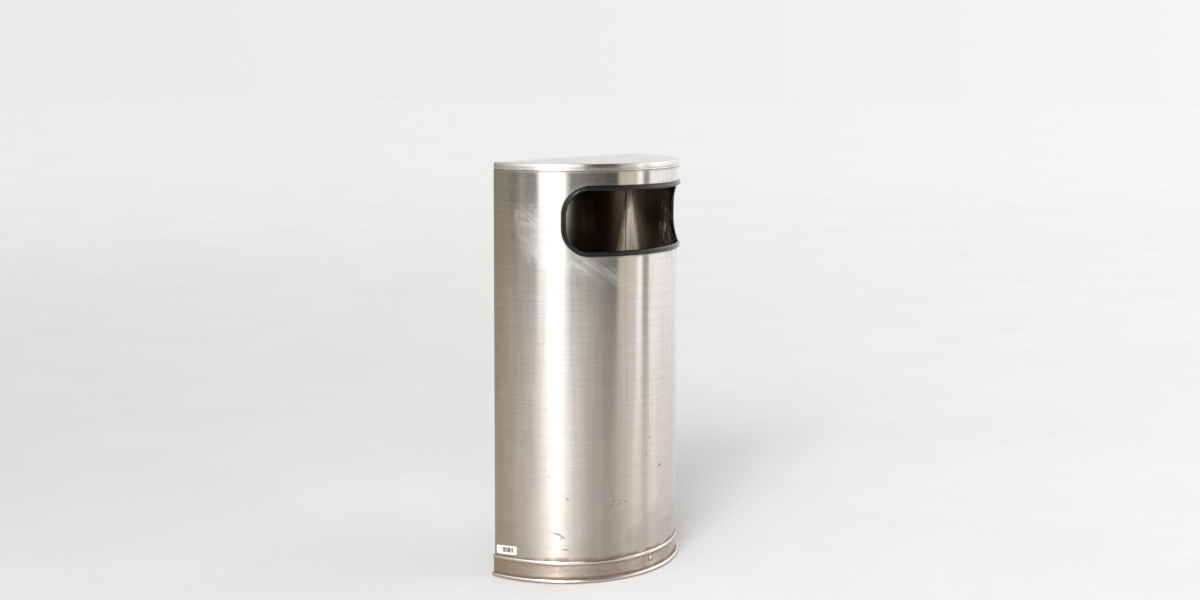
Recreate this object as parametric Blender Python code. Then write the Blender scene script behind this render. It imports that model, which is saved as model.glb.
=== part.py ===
"""Half-round litter bin: a stainless body with a front opening, a lift-off lid and a galvanised liner.

Blender 4.5, metres, +Z up. The flat back faces +Y and the round front faces -Y.
The origin is the centre of the object's box, on the floor.
"""

import math

import bmesh
import bpy
from mathutils import Matrix, Vector

# ---------------------------------------------------------------- driving dimensions
HEIGHT = 0.813  # floor to lid top, 32 in
RADIUS = 0.2286  # body's outer radius and depth, 9 in; the body is twice this wide
SHEET = 0.0008  # stainless sheet
GAP = 0.0003  # clearance between pieces that touch
ARC_STEP = math.radians(5)  # every round wall has its corners on this grid, so nested walls stay parallel
FOLD = 0.002  # outer radius of a folded corner

# base
FLOOR_CLEARANCE = 0.0015  # the rubber feet stand this much below the bead
BEAD_RADIUS = 0.004
BEAD_OUT = 0.0072  # how far the bead stands out from the body
BAND_TOP = 0.045
LIP_OUT = 0.0029
LIP_HEIGHT = 0.009
PAN_FLOOR = 0.012  # underside of the base pan
PAN_WALL_TOP = 0.040
SHELL_BOTTOM = 0.006
RIVET_Z = 0.0285
FRONT_RIVET_ANGLE = math.radians(-5)
BACK_RIVET_X = 0.15

# back panel
JOGGLE = 0.002  # its lower edge steps in by this, so that the rivet heads stay off the wall
JOGGLE_TOP = 0.050
FLANGE = 0.018  # the shell's return flange behind the panel

# lid
LID_SKIRT = 0.014
LID_SEAM = 0.0006
SHELL_TOP = HEIGHT - LID_SKIRT
COLLAR_BOTTOM = 0.7755

# opening, along the unrolled outer face
SLOT_WIDTH = 0.425
SLOT_HEIGHT = 0.121
SLOT_CORNER = 0.048
SLOT_Z = 0.705

# liner
LINER_SHEET = 0.0006
LINER_ARC_INSET = 0.0135
LINER_BACK_INSET = 0.0115
LINER_CORNER = 0.014
LINER_TOP = 0.553
LINER_FLOOR = 0.021
LINER_RIM_RADIUS = 0.0032
BAIL_WIRE = 0.003  # radius
BAIL_PIVOT_DEPTH = 0.095  # pivot to the back plane, close to the liner's centre of mass
BAIL_HOOP = 0.217  # the hoop lies along the middle of the liner's rolled rim
EAR_SHEET = 0.002
EAR_X = 0.180

BACK_Y = (RADIUS + BEAD_OUT) / 2  # the back plane, which centres the box on the origin
PIVOT_Z = LINER_TOP + BAIL_WIRE + 0.0005
PIVOT_Y = BACK_Y - BAIL_PIVOT_DEPTH

MATERIALS = {  # base colour, metallic, roughness
    "brushed_stainless": ((0.62, 0.60, 0.57), 1.0, 0.30),
    "black_vinyl": ((0.018, 0.018, 0.020), 0.0, 0.42),
    "galvanised_steel": ((0.52, 0.54, 0.55), 1.0, 0.45),
    "rubber": ((0.02, 0.02, 0.02), 0.0, 0.80),
    "rivet_steel": ((0.66, 0.64, 0.61), 1.0, 0.28),
    "label_film": ((0.80, 0.80, 0.76), 0.0, 0.45),
}


# ---------------------------------------------------------------- plan geometry
def radial(angle):
    """Unit vector pointing out of the round front at this angle from -Y, towards +X."""
    return Vector((math.sin(angle), -math.cos(angle)))


def on_arc(angle, radius):
    return Vector((0, BACK_Y)) + radial(angle) * radius


def on_facet(angle, radius):
    """The point at this angle on the faceted arc whose corners lie on the ARC_STEP grid."""
    low = math.floor(angle / ARC_STEP + 1e-9) * ARC_STEP
    share = (angle - low) / ARC_STEP
    return on_arc(low, radius).lerp(on_arc(low + ARC_STEP, radius), share)


def half_round(arc_inset, back_inset, corner):
    """Closed plan outline inside the body's outer face, counter-clockwise from its back left corner.

    The last six points are the ends of the two rounded corners, right one first.
    """
    radius = RADIUS - arc_inset
    turn = math.acos((back_inset + corner) / (radius - corner))
    centre = Vector(((radius - corner) * math.sin(turn), BACK_Y - back_inset - corner))
    steps = math.ceil(turn / ARC_STEP) - 1
    angles = [-turn] + [k * ARC_STEP for k in range(-steps, steps + 1)] + [turn]
    arc = [on_arc(a, radius) for a in angles]
    fold = [turn + (math.pi - turn) * k / 3 for k in (1, 2, 3)]
    right = [centre + radial(a) * corner for a in fold]
    left = [Vector((-p.x, p.y)) for p in reversed(right)]
    return arc + right + left


def outward(points, closed):
    """For each point of a counter-clockwise path, the vector that offsets both its edges by one unit."""
    count = len(points)
    vectors = []
    for i, point in enumerate(points):
        before = points[i - 1] if closed or i else None
        after = points[(i + 1) % count] if closed or i < count - 1 else None
        edges = [b - a for a, b in ((before, point), (point, after)) if a is not None and b is not None]
        normals = [Vector((e.y, -e.x)).normalized() for e in edges]
        total = sum(normals, Vector((0, 0))).normalized()
        vectors.append(total / total.dot(normals[0]))
    return vectors


# ---------------------------------------------------------------- solids
def finish(name, bm, material, smooth=30):
    """Makes a named object of the bmesh, with its faces pointing out."""
    bmesh.ops.recalc_face_normals(bm, faces=bm.faces)
    mesh = bpy.data.meshes.new(name)
    bm.to_mesh(mesh)
    bm.free()
    mesh.shade_smooth()
    mesh.set_sharp_from_angle(angle=math.radians(smooth))
    obj = bpy.data.objects.new(name, mesh)
    bpy.context.scene.collection.objects.link(obj)
    if material:
        mesh.materials.append(MADE[material])
    return obj


def skin(bm, loops, closed):
    """Joins each loop of vertices to the next with quads; closed joins the last loop to the first."""
    pairs = zip(loops, loops[1:] + loops[:1]) if closed else zip(loops, loops[1:])
    for a, b in pairs:
        for i in range(len(a)):
            j = (i + 1) % len(a)
            bm.faces.new((a[i], a[j], b[j], b[i]))


def sweep(name, points, profile, material, closed=True):
    """Carries a closed (offset, z) profile along a plan path. An open path gets flat ends."""
    bm = bmesh.new()
    loops = []
    for point, out in zip(points, outward(points, closed)):
        loops.append([bm.verts.new((*(point + out * offset), z)) for offset, z in profile])
    skin(bm, loops, closed)
    if not closed:
        bm.faces.new(loops[0])
        bm.faces.new(loops[-1])
    return finish(name, bm, material)


def pan(name, points, profile, material):
    """Carries an open (offset, z) profile round a closed plan outline and closes both its ends."""
    bm = bmesh.new()
    vectors = outward(points, True)
    loops = []
    for offset, z in profile:
        loops.append([bm.verts.new((*(p + v * offset), z)) for p, v in zip(points, vectors)])
    skin(bm, loops, False)
    bm.faces.new(loops[0])
    bm.faces.new(loops[-1])
    return finish(name, bm, material)


def turned(name, profile, material, segments=16):
    """A solid turned about its own Z axis from (radius, z) points, the first and last on the axis."""
    bm = bmesh.new()
    bottom = bm.verts.new((0, 0, profile[0][1]))
    top = bm.verts.new((0, 0, profile[-1][1]))
    turns = [2 * math.pi * k / segments for k in range(segments)]
    rings = [[bm.verts.new((r * math.cos(t), r * math.sin(t), z)) for t in turns] for r, z in profile[1:-1]]
    skin(bm, rings, False)
    for i in range(segments):
        j = (i + 1) % segments
        bm.faces.new((bottom, rings[0][i], rings[0][j]))
        bm.faces.new((top, rings[-1][i], rings[-1][j]))
    return finish(name, bm, material)


def place(obj, point, direction):
    """Puts an object at a point with its own Z axis along a direction."""
    obj.location = point
    obj.rotation_euler = direction.to_track_quat("Z", "Y").to_euler()
    return obj


# ---------------------------------------------------------------- cutters
def as_cutter(obj):
    obj.hide_render = True
    obj.display_type = "WIRE"
    return obj


def cut(obj, cutter):
    modifier = obj.modifiers.new(cutter.name, "BOOLEAN")
    modifier.operation = "DIFFERENCE"
    modifier.solver = "EXACT"
    modifier.object = cutter


def drill(name, point, direction, radius, reach):
    """A cutter for a round hole through everything within reach of the point."""
    profile = [(0, -reach), (radius, -reach), (radius, reach), (0, reach)]
    return as_cutter(place(turned(name, profile, None), point, direction))


def block(name, low, high):
    """A box cutter between two corners."""
    bm = bmesh.new()
    bmesh.ops.create_cube(bm, size=1)
    size = Vector(high) - Vector(low)
    middle = (Vector(high) + Vector(low)) / 2
    bmesh.ops.transform(bm, matrix=Matrix.Translation(middle) @ Matrix.Diagonal((*size, 1)), verts=bm.verts)
    return as_cutter(finish(name, bm, None))


# ---------------------------------------------------------------- rivets
def rivet(name, face, direction, grip, head=0.0042, rise=0.0014, shank=0.002):
    """A round-headed rivet on a face, through a stack of sheets grip thick. direction points out of the head."""
    bottom = -grip - GAP
    profile = [
        (0, bottom - 0.0011),
        (shank * 1.1, bottom - 0.0009),
        (shank * 1.5, bottom),
        (shank, bottom),
        (shank, GAP),
        (head, GAP),
        (head * 0.80, GAP + rise * 0.62),
        (head * 0.42, GAP + rise * 0.93),
        (0, GAP + rise),
    ]
    return place(turned(name, profile, "rivet_steel", 12), face, direction)


def rivet_hole(name, face, direction, shank=0.002, reach=0.006):
    return drill(name, face, direction, shank + GAP, reach)


# ---------------------------------------------------------------- the opening
def slot_outline(shift=0.0):
    """The opening's cut edge as (distance round the body, height), counter-clockwise.

    Its first half runs along the bottom from left to right, and its second half mirrors it along the top.
    The straight runs have their points on the body's corners, or a share of a facet past them.
    """
    half_w = SLOT_WIDTH / 2 - SLOT_CORNER
    half_h = SLOT_HEIGHT / 2 - SLOT_CORNER
    turns = [math.radians(10 * k) for k in range(10)]
    bend = [Vector((half_w + SLOT_CORNER * math.sin(t), -half_h - SLOT_CORNER * math.cos(t))) for t in turns]
    grid = ARC_STEP * RADIUS
    run = [(k + shift) * grid for k in range(-9, 10)]
    run = [s for s in run if abs(s) < half_w - 0.001]
    lower = [Vector((-p.x, p.y)) for p in reversed(bend)] + [Vector((s, bend[0].y)) for s in run] + bend
    outline = lower + [Vector((p.x, -p.y)) for p in reversed(lower)]
    return [p + Vector((0, SLOT_Z)) for p in outline]


def wrapped(point, depth):
    """A point (distance round the body, height) on the body's face, moved out of it by depth."""
    plan = on_facet(point.x / RADIUS, RADIUS) + radial(point.x / RADIUS) * depth
    return (plan.x, plan.y, point.y)


def slot_cutter():
    points = slot_outline(shift=0.5)
    last = len(points) - 1
    bm = bmesh.new()
    loops = [[bm.verts.new(wrapped(p, depth)) for p in points] for depth in (-0.012, 0.012)]
    skin(bm, loops, False)
    for loop in loops:
        for i in range(len(points) // 2 - 1):
            bm.faces.new((loop[i], loop[i + 1], loop[last - i - 1], loop[last - i]))
    return as_cutter(finish("slot_cutter", bm, None))


def opening_trim():
    """Black vinyl channel pressed over the opening's cut edge, with a leg on each face of the sheet."""
    slot = 0.0004
    inner = -SHEET - slot
    profile = [  # (out along the sheet from the cut edge, out of the sheet)
        (0.0070, slot),
        (0.0067, 0.0018),
        (0.0047, 0.0031),
        (0.0015, 0.0034),
        (-0.0015, 0.0028),
        (-0.0031, 0.0012),
        (-0.0034, -0.0006),
        (-0.0028, -0.0024),
        (-0.0012, -0.0035),
        (0.0020, -0.0038),
        (0.0052, -0.0034),
        (0.0070, inner),
        (-slot, inner),
        (-slot, slot),
    ]
    bm = bmesh.new()
    loops = []
    points = slot_outline()
    for point, out in zip(points, outward(points, True)):
        loops.append([bm.verts.new(wrapped(point + out * along, depth)) for along, depth in profile])
    skin(bm, loops, True)
    return finish("opening_trim", bm, "black_vinyl")


# ---------------------------------------------------------------- body
def front_shell():
    """Half-round wall with a return flange behind each back corner and the opening cut in its front."""
    loop = half_round(0, SHEET + GAP, FOLD)
    flange_x = RADIUS - FLANGE
    back = loop[-3].y
    path = [Vector((-flange_x, back))] + loop[-3:] + loop[:-3] + [Vector((flange_x, back))]
    wall = [(0, SHELL_BOTTOM), (0, SHELL_TOP), (-SHEET, SHELL_TOP), (-SHEET, SHELL_BOTTOM)]
    shell = sweep("front_shell", path, wall, "brushed_stainless", closed=False)
    cut(shell, slot_cutter())
    reach = RADIUS - FOLD + GAP
    notch = block("flange_notch", (-reach, BACK_Y - 0.004, -0.01), (reach, BACK_Y + 0.01, JOGGLE_TOP))
    cut(shell, notch)
    return shell


def back_panel():
    """Flat sheet behind the shell's flanges, with its lower edge stepped in."""
    width = RADIUS - FOLD - GAP
    step = JOGGLE_TOP - 0.003
    profile = [
        (0, SHELL_BOTTOM + JOGGLE),
        (0, step - JOGGLE),
        (JOGGLE, step),
        (JOGGLE, SHELL_TOP),
        (JOGGLE - SHEET, SHELL_TOP),
        (JOGGLE - SHEET, step + SHEET * 0.4),
        (-SHEET, step - JOGGLE + SHEET * 0.4),
        (-SHEET, SHELL_BOTTOM + JOGGLE),
    ]
    path = [Vector((width, BACK_Y - JOGGLE)), Vector((-width, BACK_Y - JOGGLE))]
    return sweep("back_panel", path, profile, "brushed_stainless", closed=False)


def top_collar():
    """Ring inside the shell's top edge that stands up into the lid and keeps the body's shape."""
    top = HEIGHT - SHEET - 0.001
    profile = [(0, COLLAR_BOTTOM), (0, top), (-SHEET, top), (-SHEET, COLLAR_BOTTOM)]
    outline = half_round(SHEET + 2 * GAP, 2 * (SHEET + GAP), FOLD)
    return sweep("top_collar", outline, profile, "brushed_stainless")


def base_band():
    """Roll-formed band round the foot of the shell, with a rounded lip at its top and a bead at the floor."""
    web = GAP + SHEET
    bead_x = BEAD_OUT - BEAD_RADIUS
    bead_z = FLOOR_CLEARANCE + BEAD_RADIUS
    flare = bead_z + BEAD_RADIUS + 0.002
    turns = [math.radians(130 - 22 * k) for k in range(11)]
    bead = [(bead_x + BEAD_RADIUS * math.cos(t), bead_z + BEAD_RADIUS * math.sin(t)) for t in turns]
    lip = [math.radians(90 - 30 * k) for k in range(7)]
    lip_z = BAND_TOP - LIP_HEIGHT / 2
    roll = [(web + (LIP_OUT - web) * math.cos(t), lip_z + LIP_HEIGHT / 2 * math.sin(t)) for t in lip]
    profile = [(GAP, BAND_TOP)] + roll + [(web, flare)] + bead + [(GAP, bead_z)]
    quarter = round(math.pi / 2 / ARC_STEP)
    arc = [on_arc(k * ARC_STEP, RADIUS) for k in range(-quarter, quarter + 1)]
    return sweep("base_band", arc, profile, "brushed_stainless", closed=False)


def base_pan():
    """Floor tray inside the foot of the shell, which the liner stands in."""
    floor = PAN_FLOOR + SHEET
    profile = [
        (-SHEET - 0.0015, floor),
        (-SHEET, floor + 0.0015),
        (-SHEET, PAN_WALL_TOP),
        (0, PAN_WALL_TOP),
        (0, PAN_FLOOR + 0.0015),
        (-0.0015, PAN_FLOOR),
    ]
    outline = half_round(SHEET + GAP, JOGGLE + SHEET + GAP, 0.004)
    return pan("base_pan", outline, profile, "brushed_stainless")


def base_rivets(shell, panel, band, tray):
    """One rivet through the band, shell and tray at the front, and two through the back panel and tray."""
    angle = FRONT_RIVET_ANGLE
    out = Vector((*radial(angle), 0))
    face = Vector((*on_arc(angle, RADIUS + GAP + SHEET), RIVET_Z))
    rivet("base_rivet_front", face, out, 3 * SHEET + 2 * GAP, head=0.0052, rise=0.0022, shank=0.0024)
    hole = rivet_hole("front_rivet_hole", face, out, shank=0.0024)
    for sheet in (shell, band, tray):
        cut(sheet, hole)
    for side, x in (("left", -BACK_RIVET_X), ("right", BACK_RIVET_X)):
        face = Vector((x, BACK_Y - JOGGLE, RIVET_Z))
        back = Vector((0, 1, 0))
        rivet(f"base_rivet_back_{side}", face, back, 2 * SHEET + GAP)
        hole = rivet_hole(f"back_rivet_hole_{side}", face, back)
        for sheet in (panel, tray):
            cut(sheet, hole)


def feet(tray):
    """Four rubber feet pushed up through holes in the tray."""
    up = Vector((0, 0, 1))
    stem, base, neck = 0.0037, PAN_FLOOR - GAP, PAN_FLOOR + SHEET + GAP
    profile = [
        (0, 0),
        (0.0115, 0),
        (0.0130, 0.0015),
        (0.0120, base),
        (stem, base),
        (stem, neck),
        (0.0056, neck),
        (0.0045, neck + 0.0022),
        (0, neck + 0.0030),
    ]
    for row, x, depth in (("front", 0.105, 0.165), ("back", 0.180, 0.034)):
        for side, sign in (("left", -1), ("right", 1)):
            point = Vector((sign * x, BACK_Y - depth, 0))
            place(turned(f"foot_{row}_{side}", profile, "rubber"), point, up)
            cut(tray, drill(f"foot_hole_{row}_{side}", point + up * PAN_FLOOR, up, stem + GAP, 0.004))


def asset_label():
    """Small film label on the shell, low down beside the back left corner."""
    film, tilt, middle, half = 0.0003, math.radians(2.0), 0.0575, 0.0095
    angles = [math.radians(a) for a in (-88.6, -85, -80, -76.6)]
    bm = bmesh.new()
    loops = []
    for angle in angles:
        s = angle * RADIUS
        drop = (s - angles[0] * RADIUS) * math.tan(tilt)
        low, high = middle - half + drop, middle + half + drop * 0.4
        corners = ((GAP, low), (GAP + film, low), (GAP + film, high), (GAP, high))
        loops.append([bm.verts.new(wrapped(Vector((s, z)), depth)) for depth, z in corners])
    skin(bm, loops, False)
    bm.faces.new(loops[0])
    bm.faces.new(loops[-1])
    return finish("asset_label", bm, "label_film")


# ---------------------------------------------------------------- lid
def lid_cap():
    """Flat top with a plain skirt, flush with the body, that drops over the collar."""
    low = SHELL_TOP + LID_SEAM
    edge = 0.0015
    profile = [
        (-edge, HEIGHT),
        (-edge * 0.3, HEIGHT - edge * 0.3),
        (0, HEIGHT - edge),
        (0, low),
        (-SHEET, low),
        (-SHEET, HEIGHT - SHEET),
    ]
    return pan("lid_cap", half_round(0, 0, FOLD), profile, "brushed_stainless")


# ---------------------------------------------------------------- liner
def liner_wall():
    """Half-round galvanised wall, open at both ends, with its top edge rolled outwards round a wire."""
    foot = PAN_FLOOR + SHEET + GAP
    rim_x = LINER_RIM_RADIUS - LINER_SHEET
    rim_z = LINER_TOP - LINER_RIM_RADIUS
    turns = [math.radians(180 - 36 * k) for k in range(9)]
    roll = [(rim_x + LINER_RIM_RADIUS * math.cos(t), rim_z + LINER_RIM_RADIUS * math.sin(t)) for t in turns]
    profile = [(-LINER_SHEET, foot)] + roll[:8] + [(0, rim_z - LINER_RIM_RADIUS * 0.9), (0, foot)]
    outline = half_round(LINER_ARC_INSET, LINER_BACK_INSET, LINER_CORNER)
    return sweep("liner_wall", outline, profile, "galvanised_steel")


def liner_bottom():
    """Floor of the liner, with its edge turned down inside the wall."""
    profile = [
        (-0.0015, LINER_FLOOR),
        (0, LINER_FLOOR - 0.0015),
        (0, LINER_FLOOR - 0.0065),
        (-LINER_SHEET, LINER_FLOOR - 0.0065),
        (-LINER_SHEET, LINER_FLOOR - LINER_SHEET),
    ]
    inset = LINER_SHEET + GAP
    outline = half_round(LINER_ARC_INSET + inset, LINER_BACK_INSET + inset, LINER_CORNER - inset)
    return pan("liner_bottom", outline, profile, "galvanised_steel")


def liner_ear(side, wall):
    """Bracket riveted inside the liner: a foot along the wall and a plate across the bail's axis."""
    sign = -1 if side == "left" else 1
    low, high = LINER_TOP - 0.044, PIVOT_Z + 0.0095
    inner = RADIUS - LINER_ARC_INSET - LINER_SHEET - GAP
    foot_angle = math.radians(52.5)
    foot = [on_facet(math.radians(a), inner) for a in (48.5, 50, 55)]
    bend = on_facet(math.radians(56.4), inner)
    plate = [Vector((EAR_X, BACK_Y - 0.112)), Vector((EAR_X, BACK_Y - BAIL_PIVOT_DEPTH + 0.0095))]
    path = foot + [bend.lerp(plate[0], 0.35)] + plate
    if sign < 0:
        path = [Vector((-p.x, p.y)) for p in reversed(path)]
    profile = [(0, low), (0, high), (-EAR_SHEET, high), (-EAR_SHEET, low)]
    ear = sweep(f"liner_ear_{side}", path, profile, "galvanised_steel", closed=False)
    step_y = BACK_Y - BAIL_PIVOT_DEPTH - 0.0085
    xs = sorted((sign * 0.10, sign * 0.22))
    corners = (xs[0], BACK_Y - 0.20, LINER_TOP - 0.006), (xs[1], step_y, high + 0.01)
    cut(ear, block(f"ear_shoulder_{side}", *corners))
    across = Vector((sign, 0, 0))
    pivot = Vector((sign * EAR_X, PIVOT_Y, PIVOT_Z))
    cut(ear, drill(f"ear_hole_{side}", pivot, across, BAIL_WIRE + 0.0008, 0.006))
    out = Vector((*radial(sign * foot_angle), 0))
    for level, z in (("upper", LINER_TOP - 0.016), ("lower", LINER_TOP - 0.034)):
        face = Vector((*on_facet(sign * foot_angle, RADIUS - LINER_ARC_INSET), z))
        rivet(f"ear_rivet_{side}_{level}", face, out, LINER_SHEET + GAP + EAR_SHEET)
        hole = rivet_hole(f"ear_rivet_hole_{side}_{level}", face, out)
        cut(wall, hole)
        cut(ear, hole)


def liner_bail():
    """Wire handle that lies on the liner's rim and swings up about its two ends in the ears."""
    depth = BAIL_PIVOT_DEPTH
    end_x = math.sqrt(BAIL_HOOP**2 - depth**2)
    start = math.atan2(end_x, depth) - 0.06

    def on_hoop(angle):
        return Vector((BAIL_HOOP * math.sin(angle), depth - BAIL_HOOP * math.cos(angle)))

    tip = Vector((EAR_X - EAR_SHEET - 0.007, 0))
    before = Vector((end_x - 0.011, 0))
    corner = Vector((end_x + 0.001, 0))
    bend = []
    for k in range(7):
        t = k / 6
        bend.append(before * (1 - t) ** 2 + corner * 2 * t * (1 - t) + on_hoop(start) * t**2)
    half = [tip] + bend + [on_hoop(start * (1 - k / 12)) for k in range(1, 12)]
    path = half + [on_hoop(0)] + [Vector((-p.x, p.y)) for p in reversed(half)]
    curve = bpy.data.curves.new("liner_bail", "CURVE")
    curve.dimensions = "3D"
    curve.bevel_depth = BAIL_WIRE
    curve.bevel_resolution = 2
    curve.use_fill_caps = True
    spline = curve.splines.new("POLY")
    spline.points.add(len(path) - 1)
    for point, spot in zip(spline.points, path):
        point.co = (spot.x, spot.y, 0, 1)
    bail = bpy.data.objects.new("liner_bail", curve)
    bpy.context.scene.collection.objects.link(bail)
    curve.materials.append(MADE["galvanised_steel"])
    bail.location = (0, PIVOT_Y, PIVOT_Z)
    return bail


# ---------------------------------------------------------------- assembly
def group(name, *names):
    """An empty that the named objects hang from, one for each body that moves."""
    holder = bpy.data.objects.new(name, None)
    bpy.context.scene.collection.objects.link(holder)
    for obj in bpy.context.scene.objects:
        if obj.name.startswith(names) and obj is not holder:
            obj.parent = holder
    return holder


def clear_scene():
    for obj in list(bpy.data.objects):
        bpy.data.objects.remove(obj)


def make_materials():
    made = {}
    for name, (colour, metallic, roughness) in MATERIALS.items():
        material = bpy.data.materials.new(name)
        material.use_nodes = True
        shader = material.node_tree.nodes["Principled BSDF"]
        shader.inputs["Base Color"].default_value = (*colour, 1)
        shader.inputs["Metallic"].default_value = metallic
        shader.inputs["Roughness"].default_value = roughness
        made[name] = material
    return made


clear_scene()
MADE = make_materials()

body_shell = front_shell()
body_back = back_panel()
top_collar()
opening_trim()
foot_band = base_band()
floor_tray = base_pan()
base_rivets(body_shell, body_back, foot_band, floor_tray)
feet(floor_tray)
asset_label()

lid_cap()

inner_wall = liner_wall()
liner_bottom()
for ear_side in ("left", "right"):
    liner_ear(ear_side, inner_wall)
liner_bail()

group("lid", "lid_cap")
group("liner", "liner_", "ear_rivet_")
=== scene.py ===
"""Looks for the half-round litter bin: smooth metalwork and worn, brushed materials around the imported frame.

Lengths are in metres, in the frame of the CAD: the flat back faces +Y and the round front faces -Y.
Every UV map is in metres too: U runs round the body from the middle of the front, and V runs up.
"""

import math
from functools import cached_property

import bmesh
import bpy
from mathutils import Matrix, Vector, noise


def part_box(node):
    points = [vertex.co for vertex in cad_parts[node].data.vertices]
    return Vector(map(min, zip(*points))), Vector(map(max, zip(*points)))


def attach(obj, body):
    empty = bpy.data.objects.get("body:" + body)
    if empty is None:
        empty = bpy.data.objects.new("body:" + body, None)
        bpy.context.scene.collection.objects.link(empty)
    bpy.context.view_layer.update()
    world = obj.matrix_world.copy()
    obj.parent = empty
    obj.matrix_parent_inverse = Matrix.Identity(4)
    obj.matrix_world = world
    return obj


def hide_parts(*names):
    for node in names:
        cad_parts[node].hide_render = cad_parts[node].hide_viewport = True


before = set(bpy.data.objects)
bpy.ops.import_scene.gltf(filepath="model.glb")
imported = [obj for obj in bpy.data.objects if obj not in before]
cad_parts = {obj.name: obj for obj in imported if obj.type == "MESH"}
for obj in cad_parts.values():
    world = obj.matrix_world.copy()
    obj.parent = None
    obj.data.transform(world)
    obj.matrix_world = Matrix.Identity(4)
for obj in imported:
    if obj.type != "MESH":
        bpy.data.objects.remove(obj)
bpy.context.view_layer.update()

# ---------------------------------------------------------------- sizes, read from the frame
SHELL_LOW, SHELL_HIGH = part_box("front_shell")
PANEL_LOW, PANEL_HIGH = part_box("back_panel")
LID_LOW, LID_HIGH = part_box("lid_cap")
BAND_LOW, BAND_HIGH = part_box("base_band")
TRIM_LOW, TRIM_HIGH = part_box("opening_trim")
COLLAR_LOW, COLLAR_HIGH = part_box("top_collar")
TRAY_LOW, TRAY_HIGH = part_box("base_pan")
LINER_LOW, LINER_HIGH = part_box("liner_wall")
FLOOR_LOW, FLOOR_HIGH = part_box("liner_bottom")
BAIL_LOW, BAIL_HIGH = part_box("liner_bail")
LABEL_LOW, LABEL_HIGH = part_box("asset_label")

BACK = PANEL_HIGH.y  # the back plane, which holds the axis of the round front
R = BACK - SHELL_LOW.y
SHEET = 0.0008
GAP = 0.0003
FOLD = 0.002
JOGGLE = 0.002
ARC = math.radians(1.25)  # facets of the round walls
CORNER_STEPS = 6

SLOT_Z = (TRIM_LOW.z + TRIM_HIGH.z) / 2
EDGING_LEG = 0.007  # how far the edging reaches past the cut edge
SLOT_HEIGHT = TRIM_HIGH.z - TRIM_LOW.z - 2 * EDGING_LEG
SLOT_WIDTH = 0.425  # along the face
SLOT_CORNER = 0.048
SLOT_TOP = SLOT_Z + SLOT_HEIGHT / 2
SLOT_STRAIGHT = SLOT_WIDTH / 2 - SLOT_CORNER  # half of the straight part of a long edge
SLOT_UPRIGHT = SLOT_HEIGHT / 2 - SLOT_CORNER

FLANGE = 0.018  # width of the shell's return behind the back panel
FRONT_RIVET = -5  # degrees round the front
EAR_RIVETS = 52.5  # degrees to each side of the front
WELD_PITCH = 0.075
WELD_INSET = 0.009  # from the panel's side edges
BEAD = 0.004  # radius of the roll at the foot
BAND_LIP_TALL = 0.009
BAND_LIP_OUT = 0.0029
HEM = 0.0011  # radius of the roll along the lid's skirt

LINER_SHEET = 0.0006
LINER_INSET = 0.0135
LINER_BACK = 0.0115
LINER_CORNER = 0.014
RIM = 0.0032
WIRE = (BAIL_HIGH.z - BAIL_LOW.z) / 2
HOOP = BACK - BAIL_LOW.y - WIRE
PIVOT = Vector((0, BAIL_HIGH.y - WIRE, (BAIL_LOW.z + BAIL_HIGH.z) / 2))


# ---------------------------------------------------------------- plan geometry
def radial(angle):
    """Unit vector out of the round front at this angle from -Y, towards +X."""
    return Vector((math.sin(angle), -math.cos(angle)))


def on_body(angle, radius):
    return Vector((0, BACK)) + radial(angle) * radius


def mirrored(point):
    return Vector((-point.x, point.y))


class Station:
    """A point of a plan path, with the unit vector that points out of it and its distance along the path."""

    def __init__(self, point, out):
        self.point = point
        self.out = out
        self.run = 0.0


def measured(stations, start):
    """Gives each station its distance along the path, counted from start."""
    run = start
    last = stations[0].point
    for station in stations:
        run += (station.point - last).length
        station.run = run
        last = station.point
    return stations


def arc_path(start, end, radius, step=ARC):
    count = round((end - start) / step)
    angles = [start + (end - start) * k / count for k in range(count + 1)]
    return measured([Station(on_body(a, radius), radial(a)) for a in angles], start * radius)


def half_round(arc_inset, back_inset, corner, back_steps=24):
    """Closed plan outline inside the body's outer face, counter-clockwise from its back left corner."""
    radius = R - arc_inset
    turn = math.acos((back_inset + corner) / (radius - corner))
    path = arc_path(-turn, turn, radius)
    centre = Vector(((radius - corner) * math.sin(turn), BACK - back_inset - corner))
    swing = [turn + (math.pi - turn) * k / CORNER_STEPS for k in range(1, CORNER_STEPS + 1)]
    right = [Station(centre + radial(a) * corner, radial(a)) for a in swing]
    across = [centre.x * (1 - 2 * k / back_steps) for k in range(1, back_steps)]
    back = [Station(Vector((x, BACK - back_inset)), Vector((0, 1))) for x in across]
    left = [Station(mirrored(s.point), mirrored(s.out)) for s in reversed(right)]
    return measured(path + right + back + left, -turn * radius)


# ---------------------------------------------------------------- profiles and bends
def curl(out, z, radius, start, step, count, tall=None):
    """Profile points round (out, z), from start degrees in steps. tall is its other radius, up and down."""
    turns = [math.radians(start + step * k) for k in range(count)]
    return [(out + radius * math.cos(t), z + (tall or radius) * math.sin(t)) for t in turns]


def bent(start, corner, end, steps):
    """Points along a smooth bend from start to end, pulled towards the corner."""
    shares = [k / steps for k in range(steps + 1)]
    return [start * (1 - t) ** 2 + corner * 2 * t * (1 - t) + end * t**2 for t in shares]


# ---------------------------------------------------------------- mesh building
def linked(name, data):
    """A new object in the scene."""
    obj = bpy.data.objects.new(name, data)
    bpy.context.scene.collection.objects.link(obj)
    return obj


def rectangle(left, right, low, high):
    """Corners, counter-clockwise from the lower left."""
    return (left, low), (right, low), (right, high), (left, high)


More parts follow.
